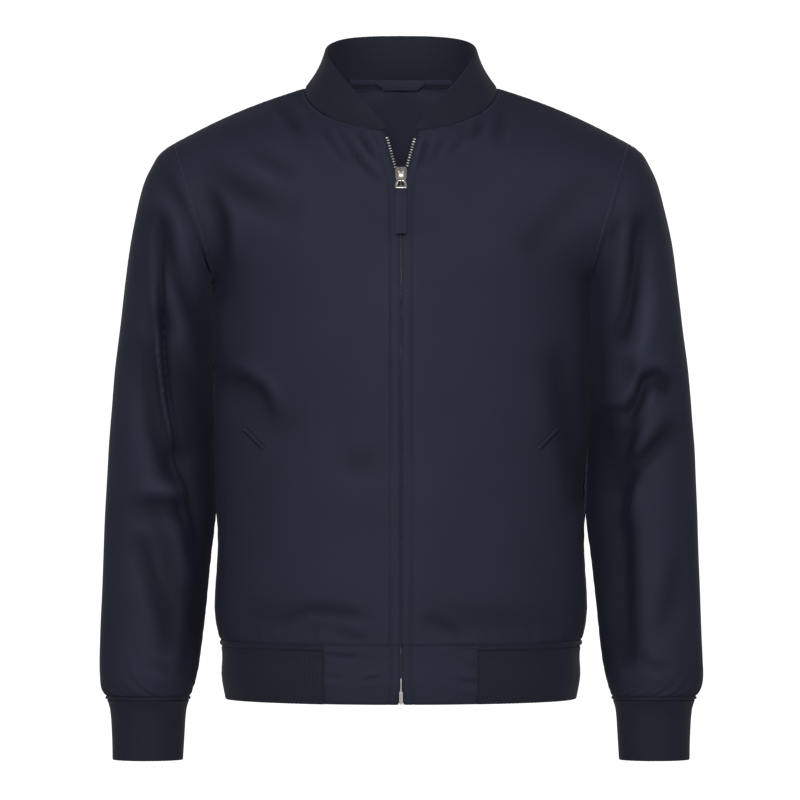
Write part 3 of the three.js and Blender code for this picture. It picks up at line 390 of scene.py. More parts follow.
@dataclass(frozen=True)
class BodyForm:
    """Worn form of the body. Its sizes are in millimetres and its points in metres."""

    neck_half_width: float = 101.0
    neck_reach: tuple[float, float] = (80.0, 63.0)
    neck_rise: tuple[float, float] = (-48.0, 4.0)
    shoulder: tuple[float, float] = (243.0, -61.0)
    underarm: tuple[float, float] = (197.4, -205.0)
    armhole_half_depth: float = 76.0
    shoulder_rounding: float = 4.5
    chest_rounding: float = 12.0
    body_turn: float = 90.0
    shoulder_turn: float = 25.0
    hem_centre: float = -581.0
    hem_side: float = -579.0
    hem_edge: float = -641.0
    front: Profile = Profile(
        (-641, -617, -581, -530, -400, -300, -225, -180, -130, -93, -47.2),
        (-132.9, -135.9, -137, -140, -135, -138, -137, -130, -115, -100.6, -78.7),
    )
    back: Profile = Profile(
        (-641, -581, -530, -380, -260, -180, -110, -60, -30, 4),
        (118.3, 122, 128, 115, 124, 131, 122, 103, 85, 63),
    )
    flank: Profile = Profile(
        (-581, -558, -538, -496, -454, -400, -328, -260, -205),
        (189.5, 194.5, 195.5, 193, 191.5, 193.3, 195.4, 196.8, 197.4),
    )
    edge: Profile = Profile(
        (-641, -628, -611, -300, -118, -104, -93, -84, -64, -47.2),
        (2.8, 2.3, 1.1, 1.1, 1.2, 3, 5.4, 8.2, 13.6, 18.5),
    )
    hem: Profile = Profile((0, 0.25, 0.6, 1), (1, 0.988, 0.992, 0.97))

    def neck_end(self, face: Face) -> float:
        """Angle where a neck seam ends: at the front edge, or at the centre back."""
        return math.degrees(math.acos(NECK_OPENING_HALF / self.neck_half_width)) if face is FRONT else 90.0

    def hem_share(self) -> float:
        """Share across the front where its own cloth runs on down to the hem edge."""
        return 2 / math.pi * math.asin(HEM_PANEL_HALF / self.flank.values[0])

    def neck(self, face: Face, angle: Array) -> Array:
        """Neck seam of the left side, in millimetres, at angles from the shoulder seam."""
        turn, index = np.radians(angle), 0 if face is FRONT else 1
        reach = face.value * self.neck_reach[index] * np.sin(turn)
        rise = self.neck_rise[index] * np.sin(turn)
        return np.stack([self.neck_half_width * np.cos(turn), reach, rise], -1)

    def inner_edge(self, face: Face, row: Array) -> Array:
        """Centre line and then the neck seam of the left side, in millimetres, at rows."""
        end = self.neck_end(face)
        top = self.neck(face, np.array(end))[2]
        low = lerp(self.hem_centre, self.underarm[1], np.minimum(row, LOWER_ROWS) / LOWER_ROWS)
        rise = np.clip(row - LOWER_ROWS, 0, CENTRE_ROWS) / CENTRE_ROWS
        height = np.where(row > LOWER_ROWS, lerp(self.underarm[1], top, rise), low)
        depth = (self.front if face is FRONT else self.back).at(height)
        half = self.edge.at(height) if face is FRONT else np.zeros_like(height)
        centre = np.stack([half, depth, height], -1)
        turned = np.clip(row - LOWER_ROWS - CENTRE_ROWS, 0, None) / (ARM_ROWS - CENTRE_ROWS)
        above = (row > LOWER_ROWS + CENTRE_ROWS)[..., None]
        return np.where(above, self.neck(face, end * (1 - turned)), centre)

    def outer_edge(self, face: Face, row: Array) -> Array:
        """Side seam and then the armhole of the left side, in millimetres, at rows."""
        height = lerp(self.hem_side, self.underarm[1], np.minimum(row, LOWER_ROWS) / LOWER_ROWS)
        seam = np.stack([self.flank.at(height), np.zeros_like(height), height], -1)
        angle = math.pi * (1 - np.clip(row - LOWER_ROWS, 0, ARM_ROWS) / ARM_ROWS)
        share = (1 + np.cos(angle)) / 2
        across = lerp(self.underarm[0], self.shoulder[0], share)
        up = lerp(self.underarm[1], self.shoulder[1], share)
        armhole = np.stack([across, face.value * self.armhole_half_depth * np.sin(angle), up], -1)
        return np.where((row > LOWER_ROWS)[..., None], armhole, seam)

    def raw(self, face: Face, row: Array, share: Array) -> Array:
        """Left half of a face in millimetres, before it is smoothed, at rows and shares."""
        row = np.clip(row, 0, ALL_ROWS)
        inner, outer = self.inner_edge(face, row), self.outer_edge(face, row)
        upper = np.clip(row - LOWER_ROWS, 0, None) / ARM_ROWS
        turn = np.radians(lerp(self.body_turn, self.shoulder_turn, upper))
        wide = np.sin(turn * share) / np.sin(turn)
        deep = (np.cos(turn * share) - np.cos(turn)) / (1 - np.cos(turn))
        x = lerp(inner[..., 0], outer[..., 0], wide)
        y = lerp(outer[..., 1], inner[..., 1], deep)
        z = lerp(inner[..., 2], outer[..., 2], share)
        y = y + face.value * self.chest_rounding * np.sin(math.pi * upper) * np.sin(math.pi * share)
        z = z + self.shoulder_rounding * np.sin(math.pi * share) * upper**2
        return np.stack([x, y, z], -1)

    def surface(self, side: Side, face: Face, rows: Array, shares: Array) -> Array:
        """Half of a face of the body, smooth between its borders.

        Args:
            side: Side of the half.
            face: Way that it faces.
            rows: Rows from the hem seam (0) to the shoulder seam (24).
            shares: Shares from the centre (0) to the arm (1).

        Returns:
            Points in metres, a row for each row and a column for each share.
        """
        row, share = np.meshgrid(rows, shares, indexing="ij")
        inside = np.clip(4 * share * (1 - share), 0, 1)
        near = np.clip((row - 7.5) / 2.5, 0, 1) * np.clip((ALL_ROWS - 0.2 - row) / 2.5, 0, 1)
        total, weights = 0.0, 0.0
        for step in np.linspace(-1, 1, 9):
            weight = math.exp(-2.2 * step * step)
            total = total + weight * self.raw(face, row + 1.8 * step * inside * near, share)
            weights += weight
        points = total / weights * MM
        points[..., 0] *= side.value
        return points

    def below_hem_seam(self, seam: Array, down: Array) -> Array:
        """Points straight below the hem seam."""
        wide = self.hem.at(down)[:, None]
        height = lerp(seam[None, :, 2], self.hem_edge * MM, down[:, None])
        return np.stack([seam[None, :, 0] * wide, seam[None, :, 1] * wide, height], -1)


# Sleeve and cuff sections: outer x and z, inner x and z, half depth, how far forward
SLEEVE_SECTIONS = (
    (243, -61, 197.4, -205, 76, 0),
    (257, -76, 198.8, -209, 76.5, 0),
    (268.5, -97, 199.4, -217, 76.5, 0.5),
    (277, -128, 199.7, -231, 76, 1),
    (284.5, -165, 199.8, -253, 75, 1.5),
    (290, -207, 199.7, -281, 73.5, 2),
    (295, -250, 199.3, -313, 71.5, 3),
    (300, -292, 198.7, -345, 69.5, 4),
    (303.5, -332, 197.8, -378, 67.5, 5.5),
    (306.6, -372, 196.8, -409, 65.5, 7),
    (309, -415, 196, -441, 63.5, 9),
    (311, -458, 196.4, -473, 61.5, 11),
    (312.6, -500, 199.8, -508, 59, 14),
    (314, -542, 203.6, -545, 56, 17),
    (315, -580, 207.6, -580, 53, 20),
    (315.3, -611, 212, -611, 50.5, 23),
    (313.5, -628, 217, -628, 47, 24.5),
    (309, -637, 220, -637, 43.5, 25),
)
CUFF_SECTIONS = (
    (309, -637, 220, -637, 43.5, 25),
    (304, -651, 224.5, -651, 37, 25.5),
    (302, -679, 226.5, -679, 34, 26),
    (301.5, -703.5, 228, -703.5, 32, 26),
)


@dataclass(frozen=True)
class TubeForm:
    """A tube through oval sections, in millimetres, with its points in metres."""

    sections: tuple[tuple[float, ...], ...]

    def surface(self, side: Side, places: Array, angles: Array) -> Array:
        """Points of the tube."""
        index = tuple(range(len(self.sections)))
        reads = [Profile(index, values).at(places * index[-1])[:, None] for values in zip(*self.sections)]
        out_x, out_z, in_x, in_z, depth, forward = reads
        turn = np.radians(angles)[None, :]
        share = (1 + np.cos(turn)) / 2
        x = side.value * lerp(in_x, out_x, share)
        y = -depth * np.sin(turn) - forward
        return np.stack([x, y, lerp(in_z, out_z, share)], -1) * MM


# Collar edge from its front end (0) by the shoulder seam (1) to the centre back (2)
COLLAR_PLACES = (0, 0.2, 0.4, 0.6, 0.8, 1, 1.25, 1.5, 1.75, 2)
COLLAR_EDGE = (
    Profile(COLLAR_PLACES, (17.6, 26.5, 43, 63.5, 77, 79.5, 73.5, 58, 31, 0)),
    Profile(COLLAR_PLACES, (-76.4, -71, -61, -44, -22.5, -1, 20, 37.5, 48.7, 52)),
    Profile(COLLAR_PLACES, (-42.2, -32, -13, 11, 31, 40.5, 48.6, 54.2, 57.2, 57.8)),
)
COLLAR_ROLL = -3.0
COLLAR_FULL_WIDTH = 46.0


@dataclass
class ClothGrid:
    """A sheet of cloth as rows and columns of points, in metres, with its outside known."""

    points: Array
    ring: bool = False

    def normals(self) -> Array:
        """Outward directions, one for each point: away from the upright middle line of the grid."""
        rows, columns = self.slopes()
        normals = unit(np.cross(columns, rows))
        middle = self.points.mean(axis=1, keepdims=True) if self.ring else np.zeros((1, 1, 3))
        away = (self.points - middle) * (1, 1, 0)
        return normals if (normals * away).sum() > 0 else -normals

    def slopes(self) -> tuple[Array, Array]:
        """Directions along the rows' order and along the columns' order."""
        points = self.points
        if self.ring:
            points = np.concatenate([points[:, -2:-1], points, points[:, 1:2]], axis=1)
        down, across = np.gradient(points, axis=0), np.gradient(points, axis=1)
        return (down[:, 1:-1], across[:, 1:-1]) if self.ring else (down, across)

    def lengths(self, axis: int) -> Array:
        """Distance along the cloth from the first row (axis 0) or column (axis 1)."""
        steps = np.linalg.norm(np.diff(self.points, axis=axis), axis=-1)
        pad = [(0, 0), (0, 0)]
        pad[axis] = (1, 0)
        return np.pad(np.cumsum(steps, axis=axis), pad)

    def from_end(self, axis: int) -> Array:
        """Distance along the cloth to the last row (axis 0) or column (axis 1)."""
        lengths = self.lengths(axis)
        return np.take(lengths, [-1], axis=axis) - lengths

    def moved(self, lift: Array) -> "ClothGrid":
        """The grid moved out by a distance at each point."""
        return ClothGrid(self.points + self.normals() * lift[..., None], self.ring)

    def area(self) -> float:
        """Area of the sheet in square metres."""
        first = self.points[1:, 1:] - self.points[:-1, :-1]
        second = self.points[1:, :-1] - self.points[:-1, 1:]
        return float(np.linalg.norm(np.cross(first, second), axis=-1).sum() / 2)

    def line_at(self, distance: float, from_end: bool = False) -> tuple[Array, Array]:
        """A line that runs up the cloth at a distance from its first or last column."""
        order = slice(None, None, -1 if from_end else 1)
        reach = (self.from_end(1) if from_end else self.lengths(1))[:, order]
        found = []
        for table in (self.points[:, order], self.normals()[:, order]):
            cut = [[np.interp(distance, at, row[:, i]) for i in range(3)] for at, row in zip(reach, table)]
            found.append(np.array(cut))
        return found[0], unit(found[1])


@dataclass(frozen=True)
class SeamRelief:
    """How cloth lies beside a seam: it rolls in, a stitched line presses it down, and it puckers a little."""

    roll: float = 0.9 * MM
    roll_width: float = 1.7 * MM
    line_at: float = 6 * MM
    line_depth: float = 0.0
    pucker: float = 0.0
    pitch: float = 9 * MM
    reach: float = 9 * MM

    def lift(self, distance: Array, along: Array, seed: float) -> Array:
        """Movement out of the cloth."""
        pressed = -self.roll * np.exp(-((distance / self.roll_width) ** 2))
        pressed = pressed - self.line_depth * np.exp(-(((distance - self.line_at) / (1.1 * MM)) ** 2))
        waves = ripple(along, self.pitch, seed) * np.exp(-distance / self.reach)
        return pressed + self.pucker * (waves * (1 - np.exp(-distance / (2 * MM))))


# Roll, roll width, line place and line depth of the edges beside the zip
FRONT_EDGE_RELIEF = (1.7 * MM, 1.4 * MM, 9.9 * MM, 1.2 * MM)


def wobble(points: Array, seed: float) -> Array:
    """How the cloth's own weight and handling move it, in metres: broad, soft and uneven."""
    broad = drift(points * (1, 1, 0.6), 90 * MM, seed)
    middle = drift(points * (1, 1, 0.7), 38 * MM, seed + 7.3)
    return (1.5 * broad + 0.55 * middle) * MM


def shares_of(
    length: float, step: float, near: tuple[float, ...], extra: tuple[float, ...] = ()
) -> Array:
    """Shares from 0 to 1, closer together by both ends and by any extra place."""
    ends = np.array(near) / length
    middle = np.linspace(ends[-1], 1 - ends[-1], max(2, round((1 - 2 * ends[-1]) * length / step)) + 1)
    places = [ends, middle, 1 - ends]
    for place in extra:
        beside = np.array((0.7, 1.8, 3.2)) / length
        apart = np.abs(places[1] - place) > 3.6 / length
        places[1] = places[1][apart]
        places.append(np.concatenate([[place], place - beside, place + beside]))
    return np.unique(np.round(np.concatenate(places), 7))


NEAR_SEAM = (0, 0.7, 1.6, 2.8, 4.4, 5.4, 6.0, 6.6, 7.8, 9.6)
NEAR_FRONT_EDGE = (0, 0.7, 1.6, 3.0, 5.0, 7.0, 8.4, 9.2, 9.8, 10.6, 12.5)


def deselect() -> None:
    """Clears the selection, so an operator acts on one piece only."""
    bpy.ops.object.select_all(action="DESELECT")


def choose(piece: Piece) -> None:
    """Selects one piece and makes it active."""
    deselect()
    piece.select_set(True)
    bpy.context.view_layer.objects.active = piece


def edit(piece: Piece, *steps) -> None:
    """Runs steps in edit mode on a whole piece."""
    choose(piece)
    bpy.ops.object.mode_set(mode="EDIT")
    bpy.ops.mesh.select_all(action="SELECT")
    for step in steps:
        step()
    bpy.ops.object.mode_set(mode="OBJECT")


def apply_modifier(piece: Piece, kind: str, **settings: float | str | bool) -> None:
    """Adds a modifier with its settings and applies it."""
    choose(piece)
    modifier = piece.modifiers.new(kind.title(), kind)
    for name, value in settings.items():
        setattr(modifier, name, value)
    bpy.ops.object.modifier_apply(modifier=modifier.name)


def bevel_edges(piece: Piece, width: float, segments: int, degrees: float) -> None:
    """Rounds the edges that turn more than an angle, by a width in millimetres."""
    limit = {"limit_method": "ANGLE", "angle_limit": math.radians(degrees)}
    apply_modifier(piece, "BEVEL", width=width * MM, segments=segments, **limit)


def smooth(piece: Piece, degrees: float) -> None:
    """Shades a piece smooth where it turns less than an angle."""
    choose(piece)
    bpy.ops.object.shade_smooth_by_angle(angle=math.radians(degrees))


def rename(piece: Piece, name: str) -> Piece:
    """Gives a piece and its mesh a name."""
    piece.name, piece.data.name = name, name
    return piece


def join(pieces: list[Piece], name: str, merge: bool = True) -> Piece:
    """Joins pieces into the first one."""
    choose(pieces[0])
    for piece in pieces[1:]:
        piece.select_set(True)
    if len(pieces) > 1:
        bpy.ops.object.join()
    if merge:
        edit(pieces[0], lambda: bpy.ops.mesh.remove_doubles(threshold=0.00001))
    return rename(pieces[0], name)


def shaped_grid(
    name: str, points: Array, flat: Array, tone: Array | None = None
) -> Piece:
    """Makes a grid primitive and moves it to a table of points.

    Args:
        name: Name of the piece.
        points: Where its points go, in rows and columns.
        flat: Their UVs, across and along, in metres.
        tone: Painted shading at each point, from -1 to 1, for the finish to read: painted shade where the
            cloth lies deep in a fold and painted highlight where it stands proud.

    Returns:
        The piece.
    """
    deselect()
    rows, columns = points.shape[0] - 1, points.shape[1] - 1
    bpy.ops.mesh.primitive_grid_add(x_subdivisions=columns, y_subdivisions=rows, size=1, calc_uvs=True)
    piece = bpy.context.active_object
    mesh = piece.data
    place = np.empty(len(mesh.vertices) * 3)
    mesh.vertices.foreach_get("co", place)
    place = place.reshape(-1, 3)
    column = np.rint((place[:, 0] + 0.5) * columns).astype(int)
    row = np.rint((place[:, 1] + 0.5) * rows).astype(int)
    mesh.vertices.foreach_set("co", points[row, column].ravel())
    corner = np.empty(len(mesh.loops), int)
    mesh.loops.foreach_get("vertex_index", corner)
    mesh.uv_layers[0].data.foreach_set("uv", flat[row[corner], column[corner]].ravel())
    # Painted shading: painted shade in folds and painted highlight on ridges, stored for the cloth finish to
    # read
    if tone is not None:
        painted_shading = mesh.attributes.new(name="painted_fold_shading", type="FLOAT", domain="POINT")
        painted_shading.data.foreach_set("value", tone[row, column].astype(np.float32))
    mesh.update()
    return rename(piece, name)


def lay_cloth(
    name: str, grid: ClothGrid, tone: Array | None = None, turn: tuple[int, int] = (1, 1)
) -> Piece:
    """Makes a single layer of cloth."""
    points = grid.points
    flat = np.stack([grid.lengths(1) * turn[0], grid.lengths(0) * turn[1]], -1)
    tone = np.zeros(points.shape[:2]) if tone is None else tone
    rows, columns = grid.slopes()
    if (np.cross(columns, rows) * grid.normals()).sum() < 0:
        points, flat, tone = points[:, ::-1], flat[:, ::-1], tone[:, ::-1]
    return shaped_grid(name, points, flat, tone)


def thicken(piece: Piece, wall: float, inside: int = 0) -> None:
    """Gives a layer of cloth its wall, towards the inside, whose faces may take the next finish."""
    apply_modifier(
        piece, "SOLIDIFY", thickness=wall, offset=-1.0, use_quality_normals=True, material_offset=inside
    )
    smooth(piece, 55)


def declare(piece: Piece, body: str, nodes: tuple[str, ...] = ()) -> None:
    """Says which body a piece rides on and which nodes it stands for."""
    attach(piece, body)
    if nodes:
        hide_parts(*nodes)
    log.info("%s: %d faces", piece.name, len(piece.data.polygons))


class ShaderBoard:
    """A principled shader with the nodes that feed it."""

    def __init__(self, name: str, **settings: float | tuple[float, ...]) -> None:
        """Starts a material."""
        self.material = bpy.data.materials.new(name)
        self.material.use_nodes = True
        self.nodes, self.links = self.material.node_tree.nodes, self.material.node_tree.links
        self.shader = self.nodes["Principled BSDF"]
        for key, value in settings.items():
            self.shader.inputs[key.replace("_", " ")].default_value = value

    def add(
        self, kind: str, values: dict[str, float | tuple[float, ...]] | None = None, **settings: str | bool
    ) -> bpy.types.Node:
        """Adds a node."""
        node = self.nodes.new("ShaderNode" + kind)
        for key, value in settings.items():
            setattr(node, key, value)
        for key, value in (values or {}).items():
            node.inputs[key].default_value = value
        return node

    def link(self, source: Socket, target: Socket) -> None:
        """Joins two sockets."""
        self.links.new(source, target)

    def place(
        self, source: str, scale: tuple[float, float, float] = (1, 1, 1), turn: float = 0.0
    ) -> Socket:
        """Places to read a pattern at: "UV" or "Object", scaled and turned about Z."""
        where = self.add("TexCoord")
        mapping = self.add("Mapping", {"Scale": scale, "Rotation": (0, 0, turn)})
        self.link(where.outputs[source], mapping.inputs["Vector"])
        return mapping.outputs["Vector"]

    def speckle(self, where: Socket, scale: float, detail: float = 2.0) -> Socket:
        """Soft noise from 0 to 1."""
        node = self.add("TexNoise", {"Scale": scale, "Detail": detail})
        self.link(where, node.inputs["Vector"])
        return node.outputs["Fac"]

    def stripes(
        self, where: Socket, period: float, direction: str = "X", distortion: float = 0.0
    ) -> Socket:
        """Even stripes from 0 to 1, a period apart in metres."""
        node = self.add(
            "TexWave",
            {"Scale": math.pi / (10 * period), "Distortion": distortion, "Detail Scale": 3.0},
            wave_type="BANDS",
            bands_direction=direction,
        )
        self.link(where, node.inputs["Vector"])
        return node.outputs["Fac"]

    def combine(
        self, operation: str, first: Socket, second: Socket | float
    ) -> Socket:
        """Result of a sum on one socket and another, or a number."""
        node = self.add("Math", operation=operation)
        self.link(first, node.inputs[0])
        if isinstance(second, (int, float)):
            node.inputs[1].default_value = second
        else:
            self.link(second, node.inputs[1])
        return node.outputs[0]

    def blend(
        self, first: Socket, share: float, second: Socket, other: float
    ) -> Socket:
        """A share of one socket and a share of another, added up."""
        kept = self.combine("MULTIPLY", first, share)
        return self.combine("ADD", kept, self.combine("MULTIPLY", second, other))

    def painted_shading(self, share: Socket, amount: float) -> Socket:
        """A share changed by the painted shading that the cloth carries: painted shade in its folds and
        painted highlight on their ridges.
        """
        tone = self.add("Attribute", attribute_name="painted_fold_shading")
        return self.combine("ADD", share, self.combine("MULTIPLY", tone.outputs["Fac"], amount))

    def tint(
        self, share: Socket, colour: tuple[float, ...], dark: float, light: float, low: float, high: float
    ) -> None:
        """Colours the shader with a colour made darker where a share is low and lighter where it is high."""
        ramp = self.add("ValToRGB")
        for element, place, tone in zip(ramp.color_ramp.elements, (low, high), (dark, light)):
            element.position = place
            element.color = (*(channel * tone for channel in colour), 1)
        self.link(share, ramp.inputs["Fac"])
        self.link(ramp.outputs["Color"], self.shader.inputs["Base Color"])

    def bump(self, height: Socket, strength: float, distance: float) -> None:
        """Raises the surface by a height, of a distance in metres."""
        node = self.add("Bump", {"Strength": strength, "Distance": distance})
        self.link(height, node.inputs["Height"])
        self.link(node.outputs["Normal"], self.shader.inputs["Normal"])


@dataclass(frozen=True)
class ClothFinish:
    """Smooth fine twill with a soft sheen."""

    name: str = "fine_twill"
    colour: tuple[float, float, float] = (0.0208, 0.0236, 0.0405)
    twill: float = 0.85 * MM
    roughness: float = 0.72
    sheen: float = 0.04

    def material(self) -> Material:
        """Makes the material."""
        board = ShaderBoard(
            self.name,
            Roughness=self.roughness,
            Specular_IOR_Level=0.1,
            Sheen_Weight=self.sheen,
            Sheen_Roughness=0.4,
            Sheen_Tint=(0.62, 0.66, 0.85, 1),
        )
        flat = board.place("UV", turn=math.radians(62))
        lines = board.stripes(flat, self.twill, "X", 0.35)
        yarn = board.speckle(board.place("UV", (1, 0.45, 1), math.radians(62)), 2600, 3)
        cloud = board.speckle(board.place("Object"), 17, 4)
        weave = board.blend(lines, 0.55, yarn, 0.45)
        # The cloth's tone mixes its weave and random mottling with painted shading: painted shade in folds,
        # painted highlight on ridges
        tone = board.painted_shading(board.combine("ADD", board.blend(weave, 0.22, cloud, 0.22), 0.33), 0.45)
        board.tint(tone, self.colour, 0.42, 1.5, 0.1, 0.95)
        board.bump(weave, 0.35, 0.00009)
        return board.material


@dataclass(frozen=True)
class RibFinish:
    """Ribbed knit: rows of small loops on the raised ribs."""

    colour: tuple[float, float, float] = (0.0108, 0.0128, 0.0236)
    loop: float = 1.25 * MM
    roughness: float = 0.74

    def material(self) -> Material:
        """Makes the material."""
        board = ShaderBoard(
            "rib_knit",
            Roughness=self.roughness,
            Specular_IOR_Level=0.2,
            Sheen_Weight=0.08,
            Sheen_Roughness=0.5,
            Sheen_Tint=(0.66, 0.68, 0.85, 1),
        )
        flat = board.place("UV")
        rows = board.stripes(flat, self.loop, "Y", 0.6)
        slant = board.stripes(board.place("UV", turn=math.radians(32)), self.loop, "Y", 0.4)
        fluff = board.speckle(flat, 2100, 3)
        loops = board.combine("MULTIPLY", rows, slant)
        weave = board.blend(loops, 0.6, fluff, 0.4)
        cloud = board.speckle(board.place("Object"), 22, 3)
        board.tint(board.blend(weave, 0.55, cloud, 0.45), self.colour, 0.78, 1.18, 0.2, 0.7)
        board.bump(weave, 0.5, 0.00018)
        return board.material


@dataclass(frozen=True)
class TapeFinish:
    """Plain woven tape, read at the object's own places."""

    name: str = "woven_tape"
    colour: tuple[float, float, float] = (0.0095, 0.0105, 0.016)

    def material(self) -> Material:
        """Makes the material."""
        board = ShaderBoard(self.name, Roughness=0.8, Specular_IOR_Level=0.3)
        where = board.place("Object")
        warp, weft = board.stripes(where, 0.7 * MM, "X", 0.3), board.stripes(where, 0.6 * MM, "Z", 0.3)
        cross = board.combine("MULTIPLY", warp, weft)
        board.tint(cross, self.colour, 0.7, 1.3, 0.1, 0.9)
        board.bump(cross, 0.5, 0.00012)
        return board.material


@dataclass(frozen=True)
class ThreadFinish:
    """Twisted sewing thread."""

    colour: tuple[float, float, float] = (0.026, 0.029, 0.045)

    def material(self) -> Material:
        """Makes the material."""
        board = ShaderBoard("thread", Roughness=0.5, Specular_IOR_Level=0.4, Sheen_Weight=0.2)
        where = board.place("Object", turn=0.7)
        twist = board.stripes(where, 0.35 * MM, "X", 0.5)
        board.tint(twist, self.colour, 0.75, 1.3, 0.1, 0.9)
        board.bump(twist, 0.4, 0.00005)
        return board.material


@dataclass(frozen=True)
class MetalFinish:
    """Polished warm silver, with a little uneven speckled wear."""

    name: str = "polished_metal"
    colour: tuple[float, float, float] = (0.86, 0.80, 0.74)
    roughness: float = 0.2

    def material(self) -> Material:
        """Makes the material."""
        board = ShaderBoard(self.name, Metallic=1.0, Roughness=self.roughness)
        where = board.place("Object")
        wear = board.speckle(where, 900, 4)
        scratch = board.speckle(board.place("Object", (1, 1, 0.15), 0.4), 3200, 2)
        board.tint(wear, self.colour, 0.92, 1, 0.25, 0.6)
        rough = board.add("MapRange", {"To Min": self.roughness * 0.8, "To Max": self.roughness * 1.7})
        board.link(scratch, rough.inputs["Value"])
        board.link(rough.outputs["Result"], board.shader.inputs["Roughness"])
        board.bump(scratch, 0.15, 0.00003)
        return board.material


@dataclass
class Wardrobe:
    """All finishes, made once."""

    cloth: Material = field(init=False)
    inside: Material = field(init=False)
    dark: Material = field(init=False)
    rib: Material = field(init=False)
    tape: Material = field(init=False)
    thread: Material = field(init=False)
    metal: Material = field(init=False)
    teeth: Material = field(init=False)

    def __post_init__(self) -> None:
        """Makes each material."""
        self.cloth = ClothFinish().material()
        # Inner faces: the shell cloth made lighter, as painted light where the inside of the jacket gets
        # little light
        self.inside = ClothFinish("cloth_inside_painted_light", (0.030, 0.0335, 0.055)).material()
        # Near-black finish for the strips of painted shadow in the pocket slits
        self.dark = TapeFinish("pocket_slit_painted_shadow", (0.0022, 0.0024, 0.0035)).material()
        self.rib = RibFinish().material()
        self.tape = TapeFinish().material()
        self.thread = ThreadFinish().material()
        self.metal = MetalFinish().material()
        self.teeth = MetalFinish("zip_teeth_metal", (0.82, 0.78, 0.74), 0.24).material()

    @staticmethod
    def put(piece: Piece, material: Material) -> None:
        """Gives a whole piece one finish."""
        piece.data.materials.clear()
        piece.data.materials.append(material)

    def dress_shell(self, piece: Piece) -> None:
        """Gives a single layer of shell cloth its finish, with a second one ready for its inside: a lighter
        copy of the same cloth, which is painted light.
        """
        self.put(piece, self.cloth)
        piece.data.materials.append(self.inside)


class Repeat:
    """One small shape copied along lines, as one mesh."""

    def __init__(self, master: Piece) -> None:
        """Reads the small shape and removes it from the scene."""
        mesh = master.data
        self.points = np.array([vertex.co[:] for vertex in mesh.vertices])
        self.faces = [tuple(face.vertices) for face in mesh.polygons]
        self.places: list[Array] = []
        bpy.data.objects.remove(master)

    def add(self, places: Array, lengthwise: Array, outward: Array) -> None:
        """Adds copies."""
        up = unit(lengthwise)
        out = unit(outward - (outward * up).sum(-1, keepdims=True) * up)
        turn = np.stack([np.cross(out, up), -out, up], axis=1)
        self.places.append(np.einsum("vk,nkj->nvj", self.points, turn) + places[:, None, :])

    def build(self, name: str) -> Piece:
        """Makes one piece of all the copies.

        Args:
            name: Name of the piece.

        Returns:
            The piece.
        """
        points = np.concatenate(self.places).reshape(-1, 3)
        step = len(self.points)
        starts = range(0, len(points), step)
        faces = [tuple(i + start for i in face) for start in starts for face in self.faces]
        mesh = bpy.data.meshes.new(name)
        mesh.from_pydata(points.tolist(), [], faces)
        piece = bpy.data.objects.new(name, mesh)
        bpy.context.scene.collection.objects.link(piece)
        smooth(piece, 50)
        return piece


def walk(
    points: Array, normals: Array, pitch: float, ends: float
) -> tuple[Array, Array, Array]:
    """Even steps along a line.

    Args:
        points: Points of the line.
        normals: Outward directions there.
        pitch: Distance between two steps.
        ends: Length left free at each end.

    Returns:
        Places, directions along the line, and outward directions.
    """
    reach = np.concatenate([[0], np.cumsum(np.linalg.norm(np.diff(points, axis=0), axis=1))])
    count = max(2, int((reach[-1] - 2 * ends) / pitch))
    stops = np.linspace(ends, reach[-1] - ends, count)

    def at(table: Array, place: Array) -> Array:
        """Values of a table at places along the line."""
        return np.stack([np.interp(place, reach, table[:, i]) for i in range(3)], -1)

    run = at(points, stops + 0.4 * MM) - at(points, stops - 0.4 * MM)
    return at(points, stops), run, unit(at(normals, stops))


def stitch_master() -> Piece:
    """One stitch: a short thread that dips into the cloth at both ends."""
    deselect()
    bpy.ops.mesh.primitive_cylinder_add(vertices=6, radius=0.3 * MM, depth=1.2 * MM, location=(0, 0, 0))
    piece = bpy.context.active_object
    for end in (1, -1):
        choose(piece)
        bpy.ops.object.mode_set(mode="EDIT")
        bpy.ops.mesh.select_all(action="DESELECT")
        bpy.ops.object.mode_set(mode="OBJECT")
        for face in piece.data.polygons:
            face.select = face.normal.z * end > 0.9
        bpy.ops.object.mode_set(mode="EDIT")
        bpy.ops.mesh.extrude_region_move(TRANSFORM_OT_translate={"value": (0, 0.2 * MM, end * 0.5 * MM)})
        bpy.ops.transform.resize(value=(0.5, 0.5, 1))
        bpy.ops.object.mode_set(mode="OBJECT")
    return piece


class Stitching:
    """Stitch lines of the shell, and those of the pull tab, which moves."""

    pitch: float = 2.9 * MM

    def __init__(self) -> None:
        """Makes the stitch that both use."""
        self.shell = Repeat(stitch_master())
        self.tab = Repeat(stitch_master())

    def sew(self, line: tuple[Array, Array], sink: float = 0.08 * MM, ends: float = 2 * MM) -> None:
        """Sews along a line on the shell."""
        places, run, out = walk(line[0], line[1], self.pitch, ends)
        self.shell.add(places - out * sink, run, out)

    def build(self, wardrobe: Wardrobe) -> None:
        """Makes both pieces of thread."""
        for repeat, name, body in (
            (self.shell, "stitching", "jacket"),
            (self.tab, "tab_stitching", "zip_pull"),
        ):
            piece = repeat.build(name)
            wardrobe.put(piece, wardrobe.thread)
            declare(piece, body)


